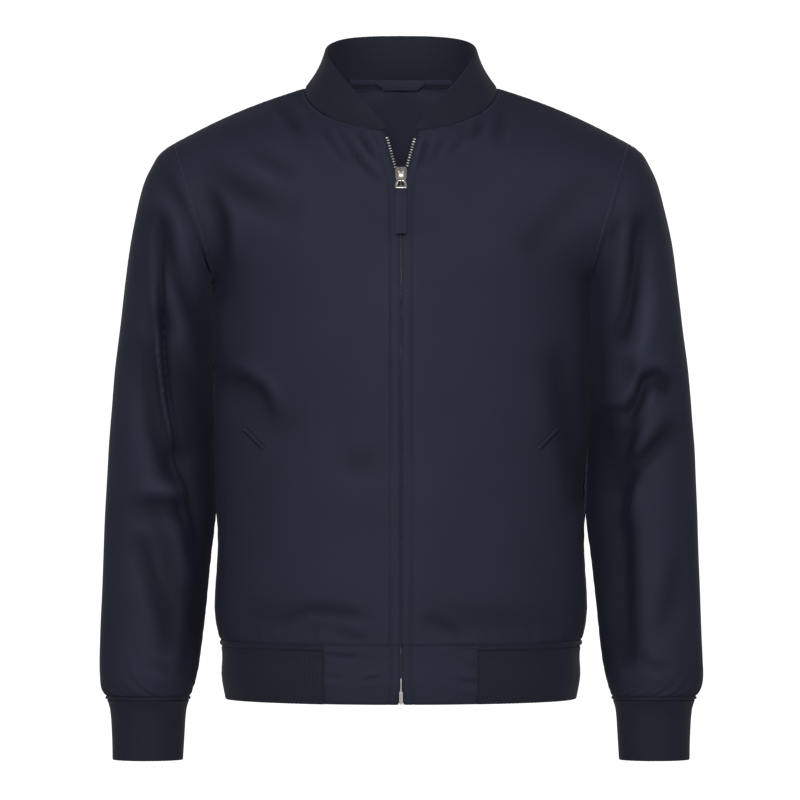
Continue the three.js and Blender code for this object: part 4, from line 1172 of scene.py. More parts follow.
@dataclass(frozen=True)
class ArmContact:
    """Where a hanging sleeve rests against the side of the body, at half widths in millimetres."""

    width: Profile = Profile((-480, -450, -420, -390, -360, -330, -300, -270, -240, -210, -180, -150),
                             (193.6, 194.0, 194.8, 195.6, 196.2, 196.9, 197.6, 198.0, 198.2, 198.0, 200, 203))
    press: Profile = Profile((-482, -462, -430, -206, -196, -186), (0, 0.35, 1, 1, 0.5, 0))
    spread: float = 26 * MM
    overlap: float = 0.35 * MM

    def close(self, grid: ClothGrid, distance: Array, push: float, inner: bool) -> ClothGrid:
        """Presses cloth against the other piece."""
        height = grid.points[..., 2] / MM
        share = self.press.at(height) * np.exp(-((distance / self.spread) ** 2))
        points = grid.points + grid.normals() * (share * push)[..., None]
        limit = self.width.at(height) * MM
        width, side = np.abs(points[..., 0]), np.sign(points[..., 0])
        held = np.minimum(width, limit + self.overlap) if inner else np.maximum(width, limit - self.overlap)
        near = np.clip(self.press.at(height) * 2, 0, 1) * np.clip(2 - np.abs(width - limit) / (3 * MM), 0, 1)
        points[..., 0] = side * (width + (held - width) * near)
        return ClothGrid(points, grid.ring)


class BodyPanels:
    """Two fronts, which run on to the hem edge beside the zip, and the back.

    The wall is in metres. The other sizes are in millimetres, those of the form's rows too.
    """

    wall: float = 2 * MM
    hem_height: float = 60.0
    half_width: float = 285.0
    lower_row: float = 31.0
    upper_row: float = 15.0
    edge_closing: Profile = Profile(
        (-641, -633, -625, -617, -611, -600, -262, -246, -240, -150, -118, -104, -96, -88),
        (0.1, 0.6, 1.1, 1.3, 0.9, 0.84, 0.84, 0.8, 0.6, 0.55, 0.65, 2.2, 1.5, 0.0),
    )

    def __init__(self, form: BodyForm) -> None:
        """Sets out the rows and shares of the panels.

        Args:
            form: Worn form of the body.
        """
        self.form = form
        near = np.array(NEAR_SEAM)
        low = np.linspace(12 / self.lower_row, LOWER_ROWS, 84)
        high = np.linspace(LOWER_ROWS, ALL_ROWS - 12 / self.upper_row, 72)[1:]
        self.rows = np.concatenate([near / self.lower_row, low, high, ALL_ROWS - near[::-1] / self.upper_row])
        self.hem_share = form.hem_share()
        even = shares_of(self.half_width, 4.4, NEAR_SEAM, (self.hem_share,))
        centre = np.array(NEAR_FRONT_EDGE) / self.half_width
        outer = even[even > centre[-1] + 1.2 / self.half_width]
        self.front_shares = np.unique(np.concatenate([centre, outer]))
        self.back_shares = shares_of(self.half_width, 4.4, NEAR_SEAM)
        self.grids: dict[tuple[Side, Face], ClothGrid] = {}
        self.hem_grids: dict[Side, ClothGrid] = {}
        self.painted_shades: dict[tuple[Side, Face], Array] = {}

    def half(self, side: Side, face: Face) -> ClothGrid:
        """One half of a face, with its folds, creases and seams.

        Args:
            side: Side of the half.
            face: Way that it faces.

        Returns:
            The finished grid.
        """
        shares = self.front_shares if face is FRONT else self.back_shares
        grid = ClothGrid(self.form.surface(side, face, self.rows, shares))
        points = grid.points
        lift = press(points, side, face, LARGE_BODY_FOLDS)
        border = np.clip(np.minimum(grid.lengths(0), grid.from_end(0)) / (26 * MM), 0, 1)
        outer = np.clip(grid.from_end(1) / (22 * MM), 0, 1)
        inner = np.clip(grid.lengths(1) / (20 * MM), 0, 1) if face is FRONT else 1.0
        soft = border * outer * inner
        seed = 3.1 * side.value + 11.7 * face.value
        small = 1.35 * press(points, side, face, BODY_CREASES) * np.clip(outer * 2, 0, 1)
        # Painted shading of this half: painted shade in the troughs of folds and creases, painted highlight
        # on their ridges
        self.painted_shades[side, face] = np.clip((0.08 * lift + 0.2 * small) / MM, -0.9, 0.5)
        lift = lift * np.clip(border * 1.4, 0, 1) + small + wobble(points, seed) * soft
        lift = lift + self.seam_lift(grid, side, face, seed)
        if face is FRONT:
            lift = lift + self.pocket_lift(points, side)
        grid = grid.moved(lift)
        if face is FRONT:
            near = np.exp(-grid.lengths(1) / (8 * MM)) * self.edge_closing.at(grid.points[..., 2] / MM)
            grid.points[..., 0] -= side.value * near * MM
        return ArmContact().close(grid, grid.from_end(1), 3.4 * MM, True)

    def seam_lift(self, grid: ClothGrid, side: Side, face: Face, seed: float) -> Array:
        """What the seams round a half do to it."""
        along, across = grid.lengths(0), grid.lengths(1)
        upper = (self.rows >= LOWER_ROWS)[:, None]
        neck = (self.rows >= LOWER_ROWS + CENTRE_ROWS)[:, None]
        outer = grid.from_end(1)
        at_armhole = SeamRelief(roll=0.5 * MM, line_depth=0.4 * MM, pucker=0.4 * MM).lift(outer, along, seed)
        at_flank = SeamRelief(pucker=0.35 * MM, pitch=15 * MM).lift(outer, along, seed + 2)
        lift = np.where(upper, at_armhole, at_flank)
        gathers = SeamRelief(roll=1.1 * MM, pucker=0.75 * MM, pitch=17 * MM, reach=22 * MM)
        lift = lift + gathers.lift(along, across, seed + 4)
        lift = lift + SeamRelief(pucker=0.2 * MM).lift(grid.from_end(0), across, seed + 6)
        if face is BACK:
            collar = SeamRelief(line_at=4 * MM, line_depth=0.3 * MM, pucker=0.25 * MM)
            return lift + np.where(neck, collar.lift(across, along, seed + 8), 0.0)
        collar = SeamRelief(1.3 * MM, 1.7 * MM, 3.4 * MM, 0.8 * MM, 0.5 * MM, 14 * MM, 16 * MM)
        edge = SeamRelief(*FRONT_EDGE_RELIEF, pucker=0.28 * MM, pitch=13 * MM)
        return lift + np.where(neck, collar.lift(across, along, seed + 8), edge.lift(across, along, seed + 9))

    @staticmethod
    def pocket_lift(points: Array, side: Side) -> Array:
        """A shallow step where a pocket opening runs beside its welt."""
        ends = ((side.value * 138.4, -374.4), (side.value * 160.4, -352.4))
        slit = Crease(side, FRONT, 2.4, 1.3, (0.2, 0.2), ends)
        return slit.lift(points / MM) * MM

    def hem_part(self, side: Side, front: ClothGrid) -> ClothGrid:
        """Part of a front that runs on beside the zip from the hem seam to the hem edge.

        Args:
            side: Side of the front.
            front: The front above it, finished.

        Returns:
            The finished grid, whose first row is the front's own.
        """
        columns = self.front_shares <= self.hem_share + 1e-6
        shares = self.front_shares[columns]
        seam = front.points[0][columns]
        down = shares_of(self.hem_height, 2.2, (0, 0.8, 1.8, 3.2))
        plain = self.form.surface(side, FRONT, np.array([0.0]), shares)[0]
        points = self.form.below_hem_seam(plain, down)
        points = points + (seam - plain)[None] * np.exp(-down * self.hem_height / 3.5)[:, None, None]
        height = points[:, 0, 2] / MM
        wanted = (self.form.edge.at(height) - self.edge_closing.at(height)) * MM * side.value
        points[..., 0] += (wanted - points[:, 0, 0])[:, None] * (1 - shares / self.hem_share)
        grid = ClothGrid(points)
        along, across = grid.lengths(0), grid.lengths(1)
        seed = 5.5 + side.value
        free = np.clip(along / (4 * MM), 0, 1)
        lift = 1.5 * press(points, side, FRONT, BODY_CREASES) + 0.35 * wobble(points, seed)
        lift = lift + SeamRelief(*FRONT_EDGE_RELIEF).lift(across, along, seed)
        beside = SeamRelief(roll=1.3 * MM, pucker=0.5 * MM, pitch=15 * MM)
        lift = lift + beside.lift(grid.from_end(1), along, seed)
        lift = lift + SeamRelief(roll=1.0 * MM).lift(grid.from_end(0), across, seed)
        return grid.moved(lift * free)

    def build(self, wardrobe: Wardrobe) -> None:
        """Makes the fronts and the back."""
        for side in Side:
            front = self.half(side, FRONT)
            hem = self.hem_part(side, front)
            self.grids[side, FRONT], self.hem_grids[side] = front, hem
            name = f"front_{SIDE_WORDS[side]}"
            layers = [
                lay_cloth(name + "_cloth", front, self.painted_shades[side, FRONT]),
                lay_cloth(name + "_hem", hem, turn=(1, -1)),
            ]
            piece = join(layers, name + "_cloth")
            wardrobe.dress_shell(piece)
            thicken(piece, self.wall, 1)
            declare(piece, "jacket", (name,))
            area = front.area() + hem.area()
            log.info("%s: %.4f square metres", name, area)
        layers = []
        for side in Side:
            half = self.half(side, BACK)
            self.grids[side, BACK] = half
            layers.append(lay_cloth(f"back_{side.value}", half, self.painted_shades[side, BACK], (side.value, 1)))
        piece = join(layers, "back_cloth")
        wardrobe.dress_shell(piece)
        thicken(piece, self.wall, 1)
        declare(piece, "jacket", ("back",))
        area = sum(self.grids[side, BACK].area() for side in Side)
        log.info("back: %.4f square metres", area)

    def sew(self, stitching: Stitching) -> None:
        """Topstitching of the armholes, the neck and the front edges."""
        top = len(self.rows)
        upper = int(np.argmax(self.rows >= LOWER_ROWS)) + 2
        neck = int(np.argmax(self.rows >= LOWER_ROWS + CENTRE_ROWS))
        for (_, face), grid in self.grids.items():
            points, out = grid.line_at(6 * MM, from_end=True)
            stitching.sew((points[upper : top - 3], out[upper : top - 3]))
            points, out = grid.line_at((3.4 if face is FRONT else 4.0) * MM)
            stitching.sew((points[neck + 1 : top - 2], out[neck + 1 : top - 2]), ends=1 * MM)
            if face is FRONT:
                points, out = grid.line_at(9.9 * MM)
                stitching.sew((points[:neck], out[:neck]), sink=0.25 * MM, ends=1 * MM)
        for grid in self.hem_grids.values():
            stitching.sew(grid.line_at(9.9 * MM), sink=0.25 * MM, ends=1 * MM)

    def place_on_front(self, side: Side, places: Array) -> tuple[Array, Array]:
        """Points of a front at places of the front view.

        Args:
            side: Side of the front.
            places: Places as x and z, in metres.

        Returns:
            The points and the outward directions there.
        """
        grid = self.grids[side, FRONT]
        points, normals = grid.points.reshape(-1, 3), grid.normals().reshape(-1, 3)
        found, out = [], []
        for place in places:
            away = np.linalg.norm(points[:, [0, 2]] - place, axis=1)
            near = np.argsort(away)[:9]
            weight = np.exp(-((away[near] / (3 * MM)) ** 2))
            weight = weight / weight.sum()
            depth = (points[near, 1] * weight).sum()
            found.append((place[0], depth, place[1]))
            out.append((normals[near] * weight[:, None]).sum(0))
        return np.array(found), unit(np.array(out))


class Sleeves:
    """Two one-piece sleeves, each sewn to a tube along the underarm."""

    wall: float = 2 * MM
    length: float = 575.0

    def __init__(self) -> None:
        """Sets out the rings."""
        self.form = TubeForm(SLEEVE_SECTIONS)
        self.places = shares_of(self.length, 3.9, NEAR_SEAM)
        near = np.array((0, 0.8, 1.8, 3.2, 5.0)) / 300 * 360
        middle = np.linspace(near[-1] + 2.4, 360 - near[-1] - 2.4, 132)
        self.angles = np.concatenate([near, middle, 360 - near[::-1]]) - 180
        self.grids: dict[Side, ClothGrid] = {}
        self.painted_shades: dict[Side, Array] = {}

    def painted_inner_shade(self) -> Array:
        """Painted shade on the side that lies against the body, where the body shades it: darker than the
        rest.
        """
        inner = np.clip((np.abs(self.angles) - 95) / 50, 0, 1)[None, :]
        along = np.clip((self.places - 0.22) / 0.1, 0, 1) * np.clip((1 - self.places) / 0.12, 0, 1)
        return -0.42 * inner * along[:, None]

    def tube(self, side: Side) -> ClothGrid:
        """One sleeve, with its folds, creases and seams.

        Args:
            side: Side of the sleeve.

        Returns:
            The finished grid.
        """
        grid = ClothGrid(self.form.surface(side, self.places, self.angles), True)
        points = grid.points
        sine = np.sin(np.radians(self.angles))[None, :]
        facing = np.sqrt(np.abs(sine))
        large, small = (
            np.where(sine > 0, press(points, side, FRONT, table), press(points, side, BACK, table))
            for table in (LARGE_SLEEVE_FOLDS, SLEEVE_CREASES)
        )
        border = np.clip(np.minimum(grid.lengths(0), grid.from_end(0)) / (24 * MM), 0, 1)
        seed = 21.3 + 4.7 * side.value
        # Painted shading of the sleeve: painted shade in folds and on its side against the body, painted
        # highlight on ridges
        self.painted_shades[side] = np.clip((0.12 * large + 0.3 * small) * facing / MM + self.painted_inner_shade(), -0.9, 0.5)
        lift = (1.3 * large + 1.6 * small) * facing * np.clip(border * 1.3, 0, 1)
        lift = lift + wobble(points, seed) * border * 1.15
        around, down = grid.lengths(1), grid.lengths(0)
        lift = lift + SeamRelief(roll=0.5 * MM, pucker=0.5 * MM, pitch=12 * MM).lift(down, around, seed)
        cuff = SeamRelief(roll=1.1 * MM, pucker=0.95 * MM, pitch=15 * MM, reach=24 * MM)
        lift = lift + cuff.lift(grid.from_end(0), around, seed + 3)
        underarm = np.minimum(around, grid.from_end(1))
        lift = lift + SeamRelief(pucker=0.35 * MM, pitch=14 * MM).lift(underarm, down, seed + 5)
        head = 1.3 * MM * np.exp(-(((down - 14 * MM) / (11 * MM)) ** 2))
        grid = grid.moved(lift + head * np.clip(0.4 + np.cos(np.radians(self.angles))[None, :], 0, 1))
        grid.points[0] += unit(grid.points[0] - grid.points[4]) * 1.6 * MM
        return ArmContact().close(grid, np.minimum(grid.lengths(1), grid.from_end(1)), 3.8 * MM, False)

    def build(self, wardrobe: Wardrobe) -> None:
        """Makes both sleeves."""
        for side in Side:
            grid = self.tube(side)
            self.grids[side] = grid
            name = f"sleeve_{SIDE_WORDS[side]}"
            layer = lay_cloth(name + "_cloth", grid, self.painted_shades[side], (1, -1))
            piece = join([layer], name + "_cloth")
            wardrobe.dress_shell(piece)
            thicken(piece, self.wall, 1)
            declare(piece, "jacket", (name,))
            round(grid.area() * 1.03, 4)
            log.info("%s: %.4f square metres", name, grid.area())


# Turns of the knit round its folded edge, in degrees
FOLD_TURNS = (25, 50, 75, 100, 125, 150)


@dataclass(frozen=True)
class RibKnit:
    """Doubled rib knit, folded at its free edge. Sizes in metres."""

    pitch: float = 4.75 * MM
    height: float = 0.22 * MM
    wall: float = 2.4 * MM
    columns: int = 8
    lip: float = 0.9 * MM
    lip_width: float = 6 * MM
    groove: float = 1.3 * MM
    tuck: float = 0.9 * MM

    def stations(self, rows: Array, ring: bool) -> Array:
        """Moves the columns of a band so that all ribs are one width."""
        if not ring:
            rows = self.tucked(rows)
        middle = rows[len(rows) // 2]
        reach = np.concatenate([[0], np.cumsum(np.linalg.norm(np.diff(middle, axis=0), axis=1))])
        ribs = round(reach[-1] / self.pitch)
        stops = np.linspace(0, reach[-1], ribs * self.columns + 1)
        moved = [np.stack([np.interp(stops, reach, row[:, i]) for i in range(3)], -1) for row in rows]
        return np.stack(moved)

    def tucked(self, rows: Array) -> Array:
        """Runs both ends of a band on a little, into the seams that hold them."""
        first = rows[:, :1] - unit(rows[:, 1:2] - rows[:, :1]) * self.tuck
        last = rows[:, -1:] - unit(rows[:, -2:-1] - rows[:, -1:]) * self.tuck
        return np.concatenate([first, rows[:, 1:-1], last], axis=1)

    @staticmethod
    def closed(values: Array, closing: Array) -> Array:
        """Values that come back to the first one where a ring closes."""
        return values * (1 - closing) + values[0] * closing

    def band(
        self, name: str, rows: Array, downs: Array, ring: bool, seed: float, bare_seam: bool = False
    ) -> Piece:
        """Makes a band of knit.

        Args:
            name: Name of the piece.
            rows: Outside of the band, a row for each distance from the seam, with many columns.
            downs: Those distances, in metres.
            ring: Whether the band closes on itself.
            seed: Number that makes this band differ from others.
            bare_seam: Whether the seam has no raised lip beside it.

        Returns:
            The piece.
        """
        grid = ClothGrid(self.stations(rows, ring), ring)
        normals = grid.normals()
        place = np.arange(grid.points.shape[1]) / self.columns
        ribs = np.abs(np.cos(math.pi * place)) ** 0.85
        closing = np.clip((place - place[-1]) / 3 + 1, 0, 1) if ring else np.zeros_like(place)
        uneven = 1 + 0.16 * self.closed(ripple(place, 7.3, seed), closing)
        lift = (ribs * uneven)[None, :] * self.height
        below = downs[:, None]
        seam_share = 0.0 if bare_seam else 1.0
        plain = np.clip((below - self.lip_width * seam_share) / (3 * MM), 0.25, 1)
        lip = self.lip * np.sin(math.pi * np.clip(below / self.lip_width, 0, 1)) * seam_share
        groove = self.groove * np.exp(-(((below - self.lip_width) / (0.8 * MM)) ** 2)) * seam_share
        roll = 0.8 * MM * np.exp(-((below / (1.4 * MM)) ** 2))
        wave = 0.35 * MM * self.closed(ripple(place, 26, seed + 1), closing)
        wave = wave * np.clip(below / (12 * MM), 0, 1)
        outside = lift * plain + lip - groove - roll + wave
        half = self.wall / 2
        down = unit(grid.points[-1] - grid.points[-2])
        layers = list(grid.points + normals * outside[..., None])
        out = normals[-1]
        core = grid.points[-1] - out * half + out * wave[-1][:, None]
        for turn in np.radians(FOLD_TURNS):
            reach = (half + lift[0] * plain[-1])[:, None]
            layers.append(core + out * reach * math.cos(turn) + down * reach * math.sin(turn))
        inside = grid.points - normals * (self.wall + lift * 0.8 - wave)[..., None]
        keep = list(range(len(downs) - 1, -1, -2))
        if keep[-1] != 0:
            keep.append(0)
        layers += [inside[index] for index in keep]
        layers.append(layers[0].copy())
        loops = np.stack(layers)
        if not ring:
            middle = grid.points - normals * half
            turned = np.repeat(core[None], len(FOLD_TURNS), 0)
            flat = np.concatenate([middle, turned, middle[keep], middle[:1]])
            first, last = (lerp(loops[:, [i]], loops[:, [j]], 0.65) for i, j in ((0, 1), (-1, -2)))
            loops = np.concatenate([flat[:, :1], first, loops[:, 2:-2], last, flat[:, -1:]], axis=1)
        return self.lay(name, ClothGrid(loops), normals, len(downs))

    @staticmethod
    def lay(name: str, full: ClothGrid, normals: Array, count: int) -> Piece:
        """Lays the closed loops of a band as one piece.

        Args:
            name: Name of the piece.
            full: The loops, the outside of the band first.
            normals: Outward directions of that outside.
            count: How many of the rows are that outside.

        Returns:
            The piece, with its faces outwards.
        """
        across = np.repeat(full.lengths(1)[:1], len(full.points), 0)
        points, flat = full.points, np.stack([across, full.lengths(0)], -1)
        rows, columns = full.slopes()
        sample = slice(2, count - 2)
        outward = np.cross(columns, rows)[sample, 3:-3]
        width = min(outward.shape[1], normals.shape[1] - 6)
        if (outward[:, :width] * normals[sample, 3 : 3 + width]).sum() < 0:
            points, flat = points[:, ::-1], flat[:, ::-1]
        piece = shaped_grid(name, points, flat)
        edit(piece, lambda: bpy.ops.mesh.remove_doubles(threshold=0.000005))
        smooth(piece, 70)
        return piece


class RibBands:
    """Hem band, collar and both cuffs, with their lengths from seam to edge in millimetres."""

    hem_length: float = 61.0
    collar_length: float = 56.0
    cuff_length: float = 66.0

    def __init__(self, body: BodyForm) -> None:
        """Keeps the form that the bands hang from."""
        self.body = body
        self.knit = RibKnit()

    @staticmethod
    def downs(length: float) -> Array:
        """Distances from the seam, in metres, for a band of a length in millimetres."""
        near = np.array((0, 0.9, 2.0, 3.2, 4.6, 5.4, 6.0, 6.6, 7.6, 9.2))
        middle = np.linspace(13, length - 2.5, max(3, round((length - 15) / 7)))
        return np.concatenate([near, middle, [length - 1.2]]) * MM

    def hem_rows(self, downs: Array, length: float) -> Array:
        """Outside of the hem band, from the left front round the back to the right front."""
        form, shares = self.body, np.linspace(0, 1, 420)
        front = np.linspace(form.hem_share(), 1, 300)
        base = np.array([0.0])
        left = form.surface(LEFT, FRONT, base, front)[0]
        back_left = form.surface(LEFT, BACK, base, shares[::-1])[0][1:]
        back_right = form.surface(RIGHT, BACK, base, shares)[0][1:]
        right = form.surface(RIGHT, FRONT, base, front[::-1])[0][1:]
        seam = np.concatenate([left, back_left, back_right, right])
        return form.below_hem_seam(seam, downs / (length * MM))

    def collar_rows(self, downs: Array, length: float) -> Array:
        """Outside of the collar, from its left front end round the back to its right front end."""
        form = self.body
        along = np.linspace(0, 2, 700)
        end = form.neck_end(FRONT)
        front = form.neck(FRONT, end * (1 - np.clip(along, 0, 1)))
        back = form.neck(BACK, 90 * np.clip(along - 1, 0, 1))
        base = np.where((along <= 1)[:, None], front, back)
        edge = np.stack([profile.at(along) for profile in COLLAR_EDGE], -1)
        share = (downs / (length * MM))[:, None, None]
        points = base + (edge - base) * share
        width = np.minimum(1, np.linalg.norm(edge - base, axis=1) / COLLAR_FULL_WIDTH)[None, :, None]
        out = unit(points * (1, 1, 0))
        points = points + out * COLLAR_ROLL * width * np.sin(math.pi * share)
        right = points[:, ::-1][:, 1:] * (-1, 1, 1)
        return np.concatenate([points, right], axis=1) * MM

    def build(self, wardrobe: Wardrobe) -> None:
        """Makes all four bands."""
        downs = self.downs(self.hem_length)
        hem = self.knit.band("hem_band", self.hem_rows(downs, self.hem_length), downs, False, 1.7)
        self.finish(hem, wardrobe, "hem_rib", (0.920, 0.062))
        downs = self.downs(self.collar_length)
        rows = self.collar_rows(downs, self.collar_length)
        collar = self.knit.band("collar_band", rows, downs, False, 4.1, True)
        self.finish(collar, wardrobe, "collar", (0.480, 0.052), 0.0225)
        form, downs = TubeForm(CUFF_SECTIONS), self.downs(self.cuff_length)
        for side in Side:
            rows = form.surface(side, downs / (self.cuff_length * MM), np.linspace(-180, 180, 721))
            name = f"cuff_{SIDE_WORDS[side]}"
            cuff = self.knit.band(name + "_band", rows, downs, True, 6.3 + side.value)
            self.finish(cuff, wardrobe, name, (0.215, 0.067))

    @staticmethod
    def finish(
        piece: Piece, wardrobe: Wardrobe, node: str, flat: tuple[float, float], area: float | None = None
    ) -> None:
        """Gives a band its finish and declares it on the jacket."""
        wardrobe.put(piece, wardrobe.rib)
        declare(piece, "jacket", (node,))


def copy_of_node(node: str, name: str) -> Piece:
    """A merged copy of a frame solid, with flat faces whole.

    Args:
        node: Name of the frame's node.
        name: Name of the copy.

    Returns:
        The copy.
    """
    choose(frame["nodes"][node])
    bpy.ops.object.duplicate(linked=False)
    piece = bpy.context.active_object
    for key in list(piece.keys()):
        del piece[key]
    if piece.parent:
        bpy.ops.object.parent_clear(type="CLEAR_KEEP_TRANSFORM")
    edit(
        piece,
        lambda: bpy.ops.mesh.remove_doubles(threshold=0.00001),
        lambda: bpy.ops.mesh.dissolve_limited(angle_limit=math.radians(1)),
    )
    return rename(piece, name)


class Zip:
    """Tapes, teeth, slider with its pull and cloth tab, and the retainer at the foot."""

    pitch: float = 2.8 * MM
    slider_height: float = -93 * MM
    neck_height: float = -55 * MM
    foot: float = -637 * MM
    under: Profile = Profile((-641, -262, -100, -92, -40), (5.4, 5.2, 5.2, 3.6, 3.6))

    def __init__(self, body: BodyForm) -> None:
        """Keeps the form that the zip lies in."""
        self.body = body

    def tooth(self) -> Piece:
        """One tooth: a rounded block that clamps the tape's edge, with a narrower head."""
        deselect()
        bpy.ops.mesh.primitive_cube_add(size=1, location=(0, 0, 0), scale=(3.0 * MM, 2.4 * MM, 1.05 * MM))
        piece = bpy.context.active_object
        bpy.ops.object.transform_apply(location=False, rotation=False, scale=True)
        for face in piece.data.polygons:
            face.select = face.normal.x > 0.9
        choose(piece)
        bpy.ops.object.mode_set(mode="EDIT")
        bpy.ops.mesh.select_mode(type="FACE")
        bpy.ops.transform.resize(value=(1, 0.7, 0.75))
        bpy.ops.object.mode_set(mode="OBJECT")
        bevel_edges(piece, 0.25, 1, 30)
        return piece

    def build_teeth(self, wardrobe: Wardrobe) -> None:
        """Makes both rows of teeth, apart above the slider and locked below it."""
        for side in Side:
            row = Repeat(self.tooth())
            shift = 0.0 if side is LEFT else self.pitch / 2
            heights = np.arange(self.foot + shift, self.neck_height, self.pitch)
            heights = heights[np.abs(heights - self.slider_height) > 6.2 * MM]
            depth = (self.body.front.at(heights / MM) + self.under.at(heights / MM)) * MM
            half = self.body.edge.at(heights / MM) * MM
            closed = heights < self.slider_height
            x = np.where(closed, 0.85 * MM, half - 1.5 * MM) * side.value
            lift = np.where(closed, 0.0, 0.5 * MM)
            places = np.stack([x, depth - lift, heights], -1)
            step = 1 * MM
            aside, forward = (
                (profile.at((heights + step) / MM) - profile.at((heights - step) / MM)) * MM
                for profile in (self.body.edge, self.body.front)
            )
            aside = np.where(closed, 0.0, aside * side.value)
            rise = np.stack([aside, forward, np.full_like(heights, 2 * step)], -1)
            out = np.cross(rise, np.array([1.0, 0.0, 0.0]))
            out = out * -np.sign(out[:, 1:2])
            row.add(places, rise if side is RIGHT else -rise, out)
            piece = row.build(f"zip_teeth_{SIDE_WORDS[side]}")
            wardrobe.put(piece, wardrobe.teeth)
            declare(piece, "jacket")

    def build_tapes(self, wardrobe: Wardrobe) -> None:
        """Makes the woven tapes that carry the teeth, under both front edges."""
        height = np.linspace(self.foot - 2 * MM, self.neck_height + 4 * MM, 150)
        closed = height < self.slider_height
        half = self.body.edge.at(height / MM) * MM
        start = np.where(closed, 1.0 * MM, half - 1.3 * MM)
        depth = (self.body.front.at(height / MM) + self.under.at(height / MM) + 0.4) * MM
        across = np.array((0.0, 1.5, 4.5, 8.0, 11.5)) * MM
        for side in Side:
            x = (start[:, None] + across) * side.value
            y = depth[:, None] + across * 0.04
            name = f"zip_tape_{SIDE_WORDS[side]}"
            grid = ClothGrid(np.stack([x, y, np.repeat(height[:, None], len(across), 1)], -1))
            piece = lay_cloth(name + "_cloth", grid)
            thicken(piece, 0.6 * MM)
            wardrobe.put(piece, wardrobe.tape)
            declare(piece, "jacket", (name,))

    def build_metal(self, wardrobe: Wardrobe) -> None:
        """Rounds the frame's slider, pull and retainer, and gives the first two their waisted outline."""
        outline = Profile((-108, -104.5, -101, -98, -92, -84), (0.93, 0.93, 1.05, 1.22, 1.12, 1.12))
        for node, body, bevel in (
            ("zip_slider", "jacket", 0.35),
            ("zip_pull", "zip_pull", 0.35),
            ("zip_retainer", "jacket", 0.25),
        ):
            piece = copy_of_node(node, node + "_metal")
            if node == "zip_pull":
                self.open_slot(piece)
            if node != "zip_retainer":
                edit(piece, lambda: bpy.ops.mesh.subdivide(number_cuts=2))
                for vertex in piece.data.vertices:
                    vertex.co.x *= float(outline.at(np.array(vertex.co.z / MM)))
            bevel_edges(piece, bevel, 3, 30)
            smooth(piece, 35)
            wardrobe.put(piece, wardrobe.metal)
            declare(piece, body, (node,))

    @staticmethod
    def open_slot(piece: Piece) -> None:
        """Raises and narrows the top of the pull's slot, so that it has the round arch of the real one."""
        heights = np.array([vertex.co.z for vertex in piece.data.vertices])
        scale = (heights.max() - heights.min()) / 20.3
        middle = heights.max() - 0.8 * scale
        for vertex in piece.data.vertices:
            if abs((vertex.co.z - middle) / scale + 14.2) < 0.6 and abs(vertex.co.x) < 5 * MM:
                vertex.co.z += 2.7 * scale
                vertex.co.x *= 0.52

    def build_tab(self, wardrobe: Wardrobe, stitching: Stitching) -> None:
        """Makes the cloth tab: a strip doubled at its foot, with its ends held behind the pull's bar."""
        metal = bpy.data.objects["zip_pull_metal"].data
        pull = np.array([vertex.co[:] for vertex in metal.vertices])
        slope, offset = np.polyfit(pull[:, 2], pull[:, 1], 1)
        top, foot = pull[:, 2].min() - 0.2 * MM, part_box("pull_tab")[0][2]
        thick, ply = 1.3 * MM, 0.8 * MM
        behind = 0.8 * MM + thick
        ease = top - np.array((0.0, 1.5, 4.0)) * MM
        straight_run = np.linspace(top - 6 * MM, foot + thick, 24)
        turn = np.linspace(-math.pi / 2, math.pi / 2, 7)[1:-1]
        round_foot = foot + thick - thick * np.cos(turn)
        back = [straight_run[::-1], ease[::-1], [top + 2.2 * MM]]
        height = np.concatenate([ease, straight_run, round_foot, *back])
        front = [np.array((-0.3, -0.85, -1.0)) * thick, np.full(24, -thick), thick * np.sin(turn)]
        away = np.concatenate([*front, np.full(24, thick), [thick, thick, behind], [behind]])
        across = np.linspace(-5.4, 5.4, 9) * MM
        points = np.stack([
            np.repeat(across[None], len(height), 0),
            np.repeat((slope * height + offset + away)[:, None], 9, 1),
            np.repeat(height[:, None], 9, 1),
        ], -1)
        grid = ClothGrid(points)
        piece = lay_cloth("pull_tab_cloth", grid)
        if piece.data.polygons[4].normal.y > 0:
            edit(piece, bpy.ops.mesh.flip_normals)
        thicken(piece, ply)
        bevel_edges(piece, 0.2, 2, 50)
        wardrobe.put(piece, wardrobe.cloth)
        declare(piece, "zip_pull", ("pull_tab",))
        for x in (-4.4 * MM, 4.4 * MM):
            line = np.stack([np.full(24, x), slope * straight_run + offset - thick, straight_run], -1)
            places, run, out = walk(line, np.tile((0.0, -1.0, 0.0), (24, 1)), 2.2 * MM, 0.5 * MM)
            stitching.tab.add(places, run, out)

    def build(self, wardrobe: Wardrobe, stitching: Stitching) -> None:
        """Makes the whole zip."""
        self.build_tapes(wardrobe)
        self.build_teeth(wardrobe)
        self.build_metal(wardrobe)
        self.build_tab(wardrobe, stitching)


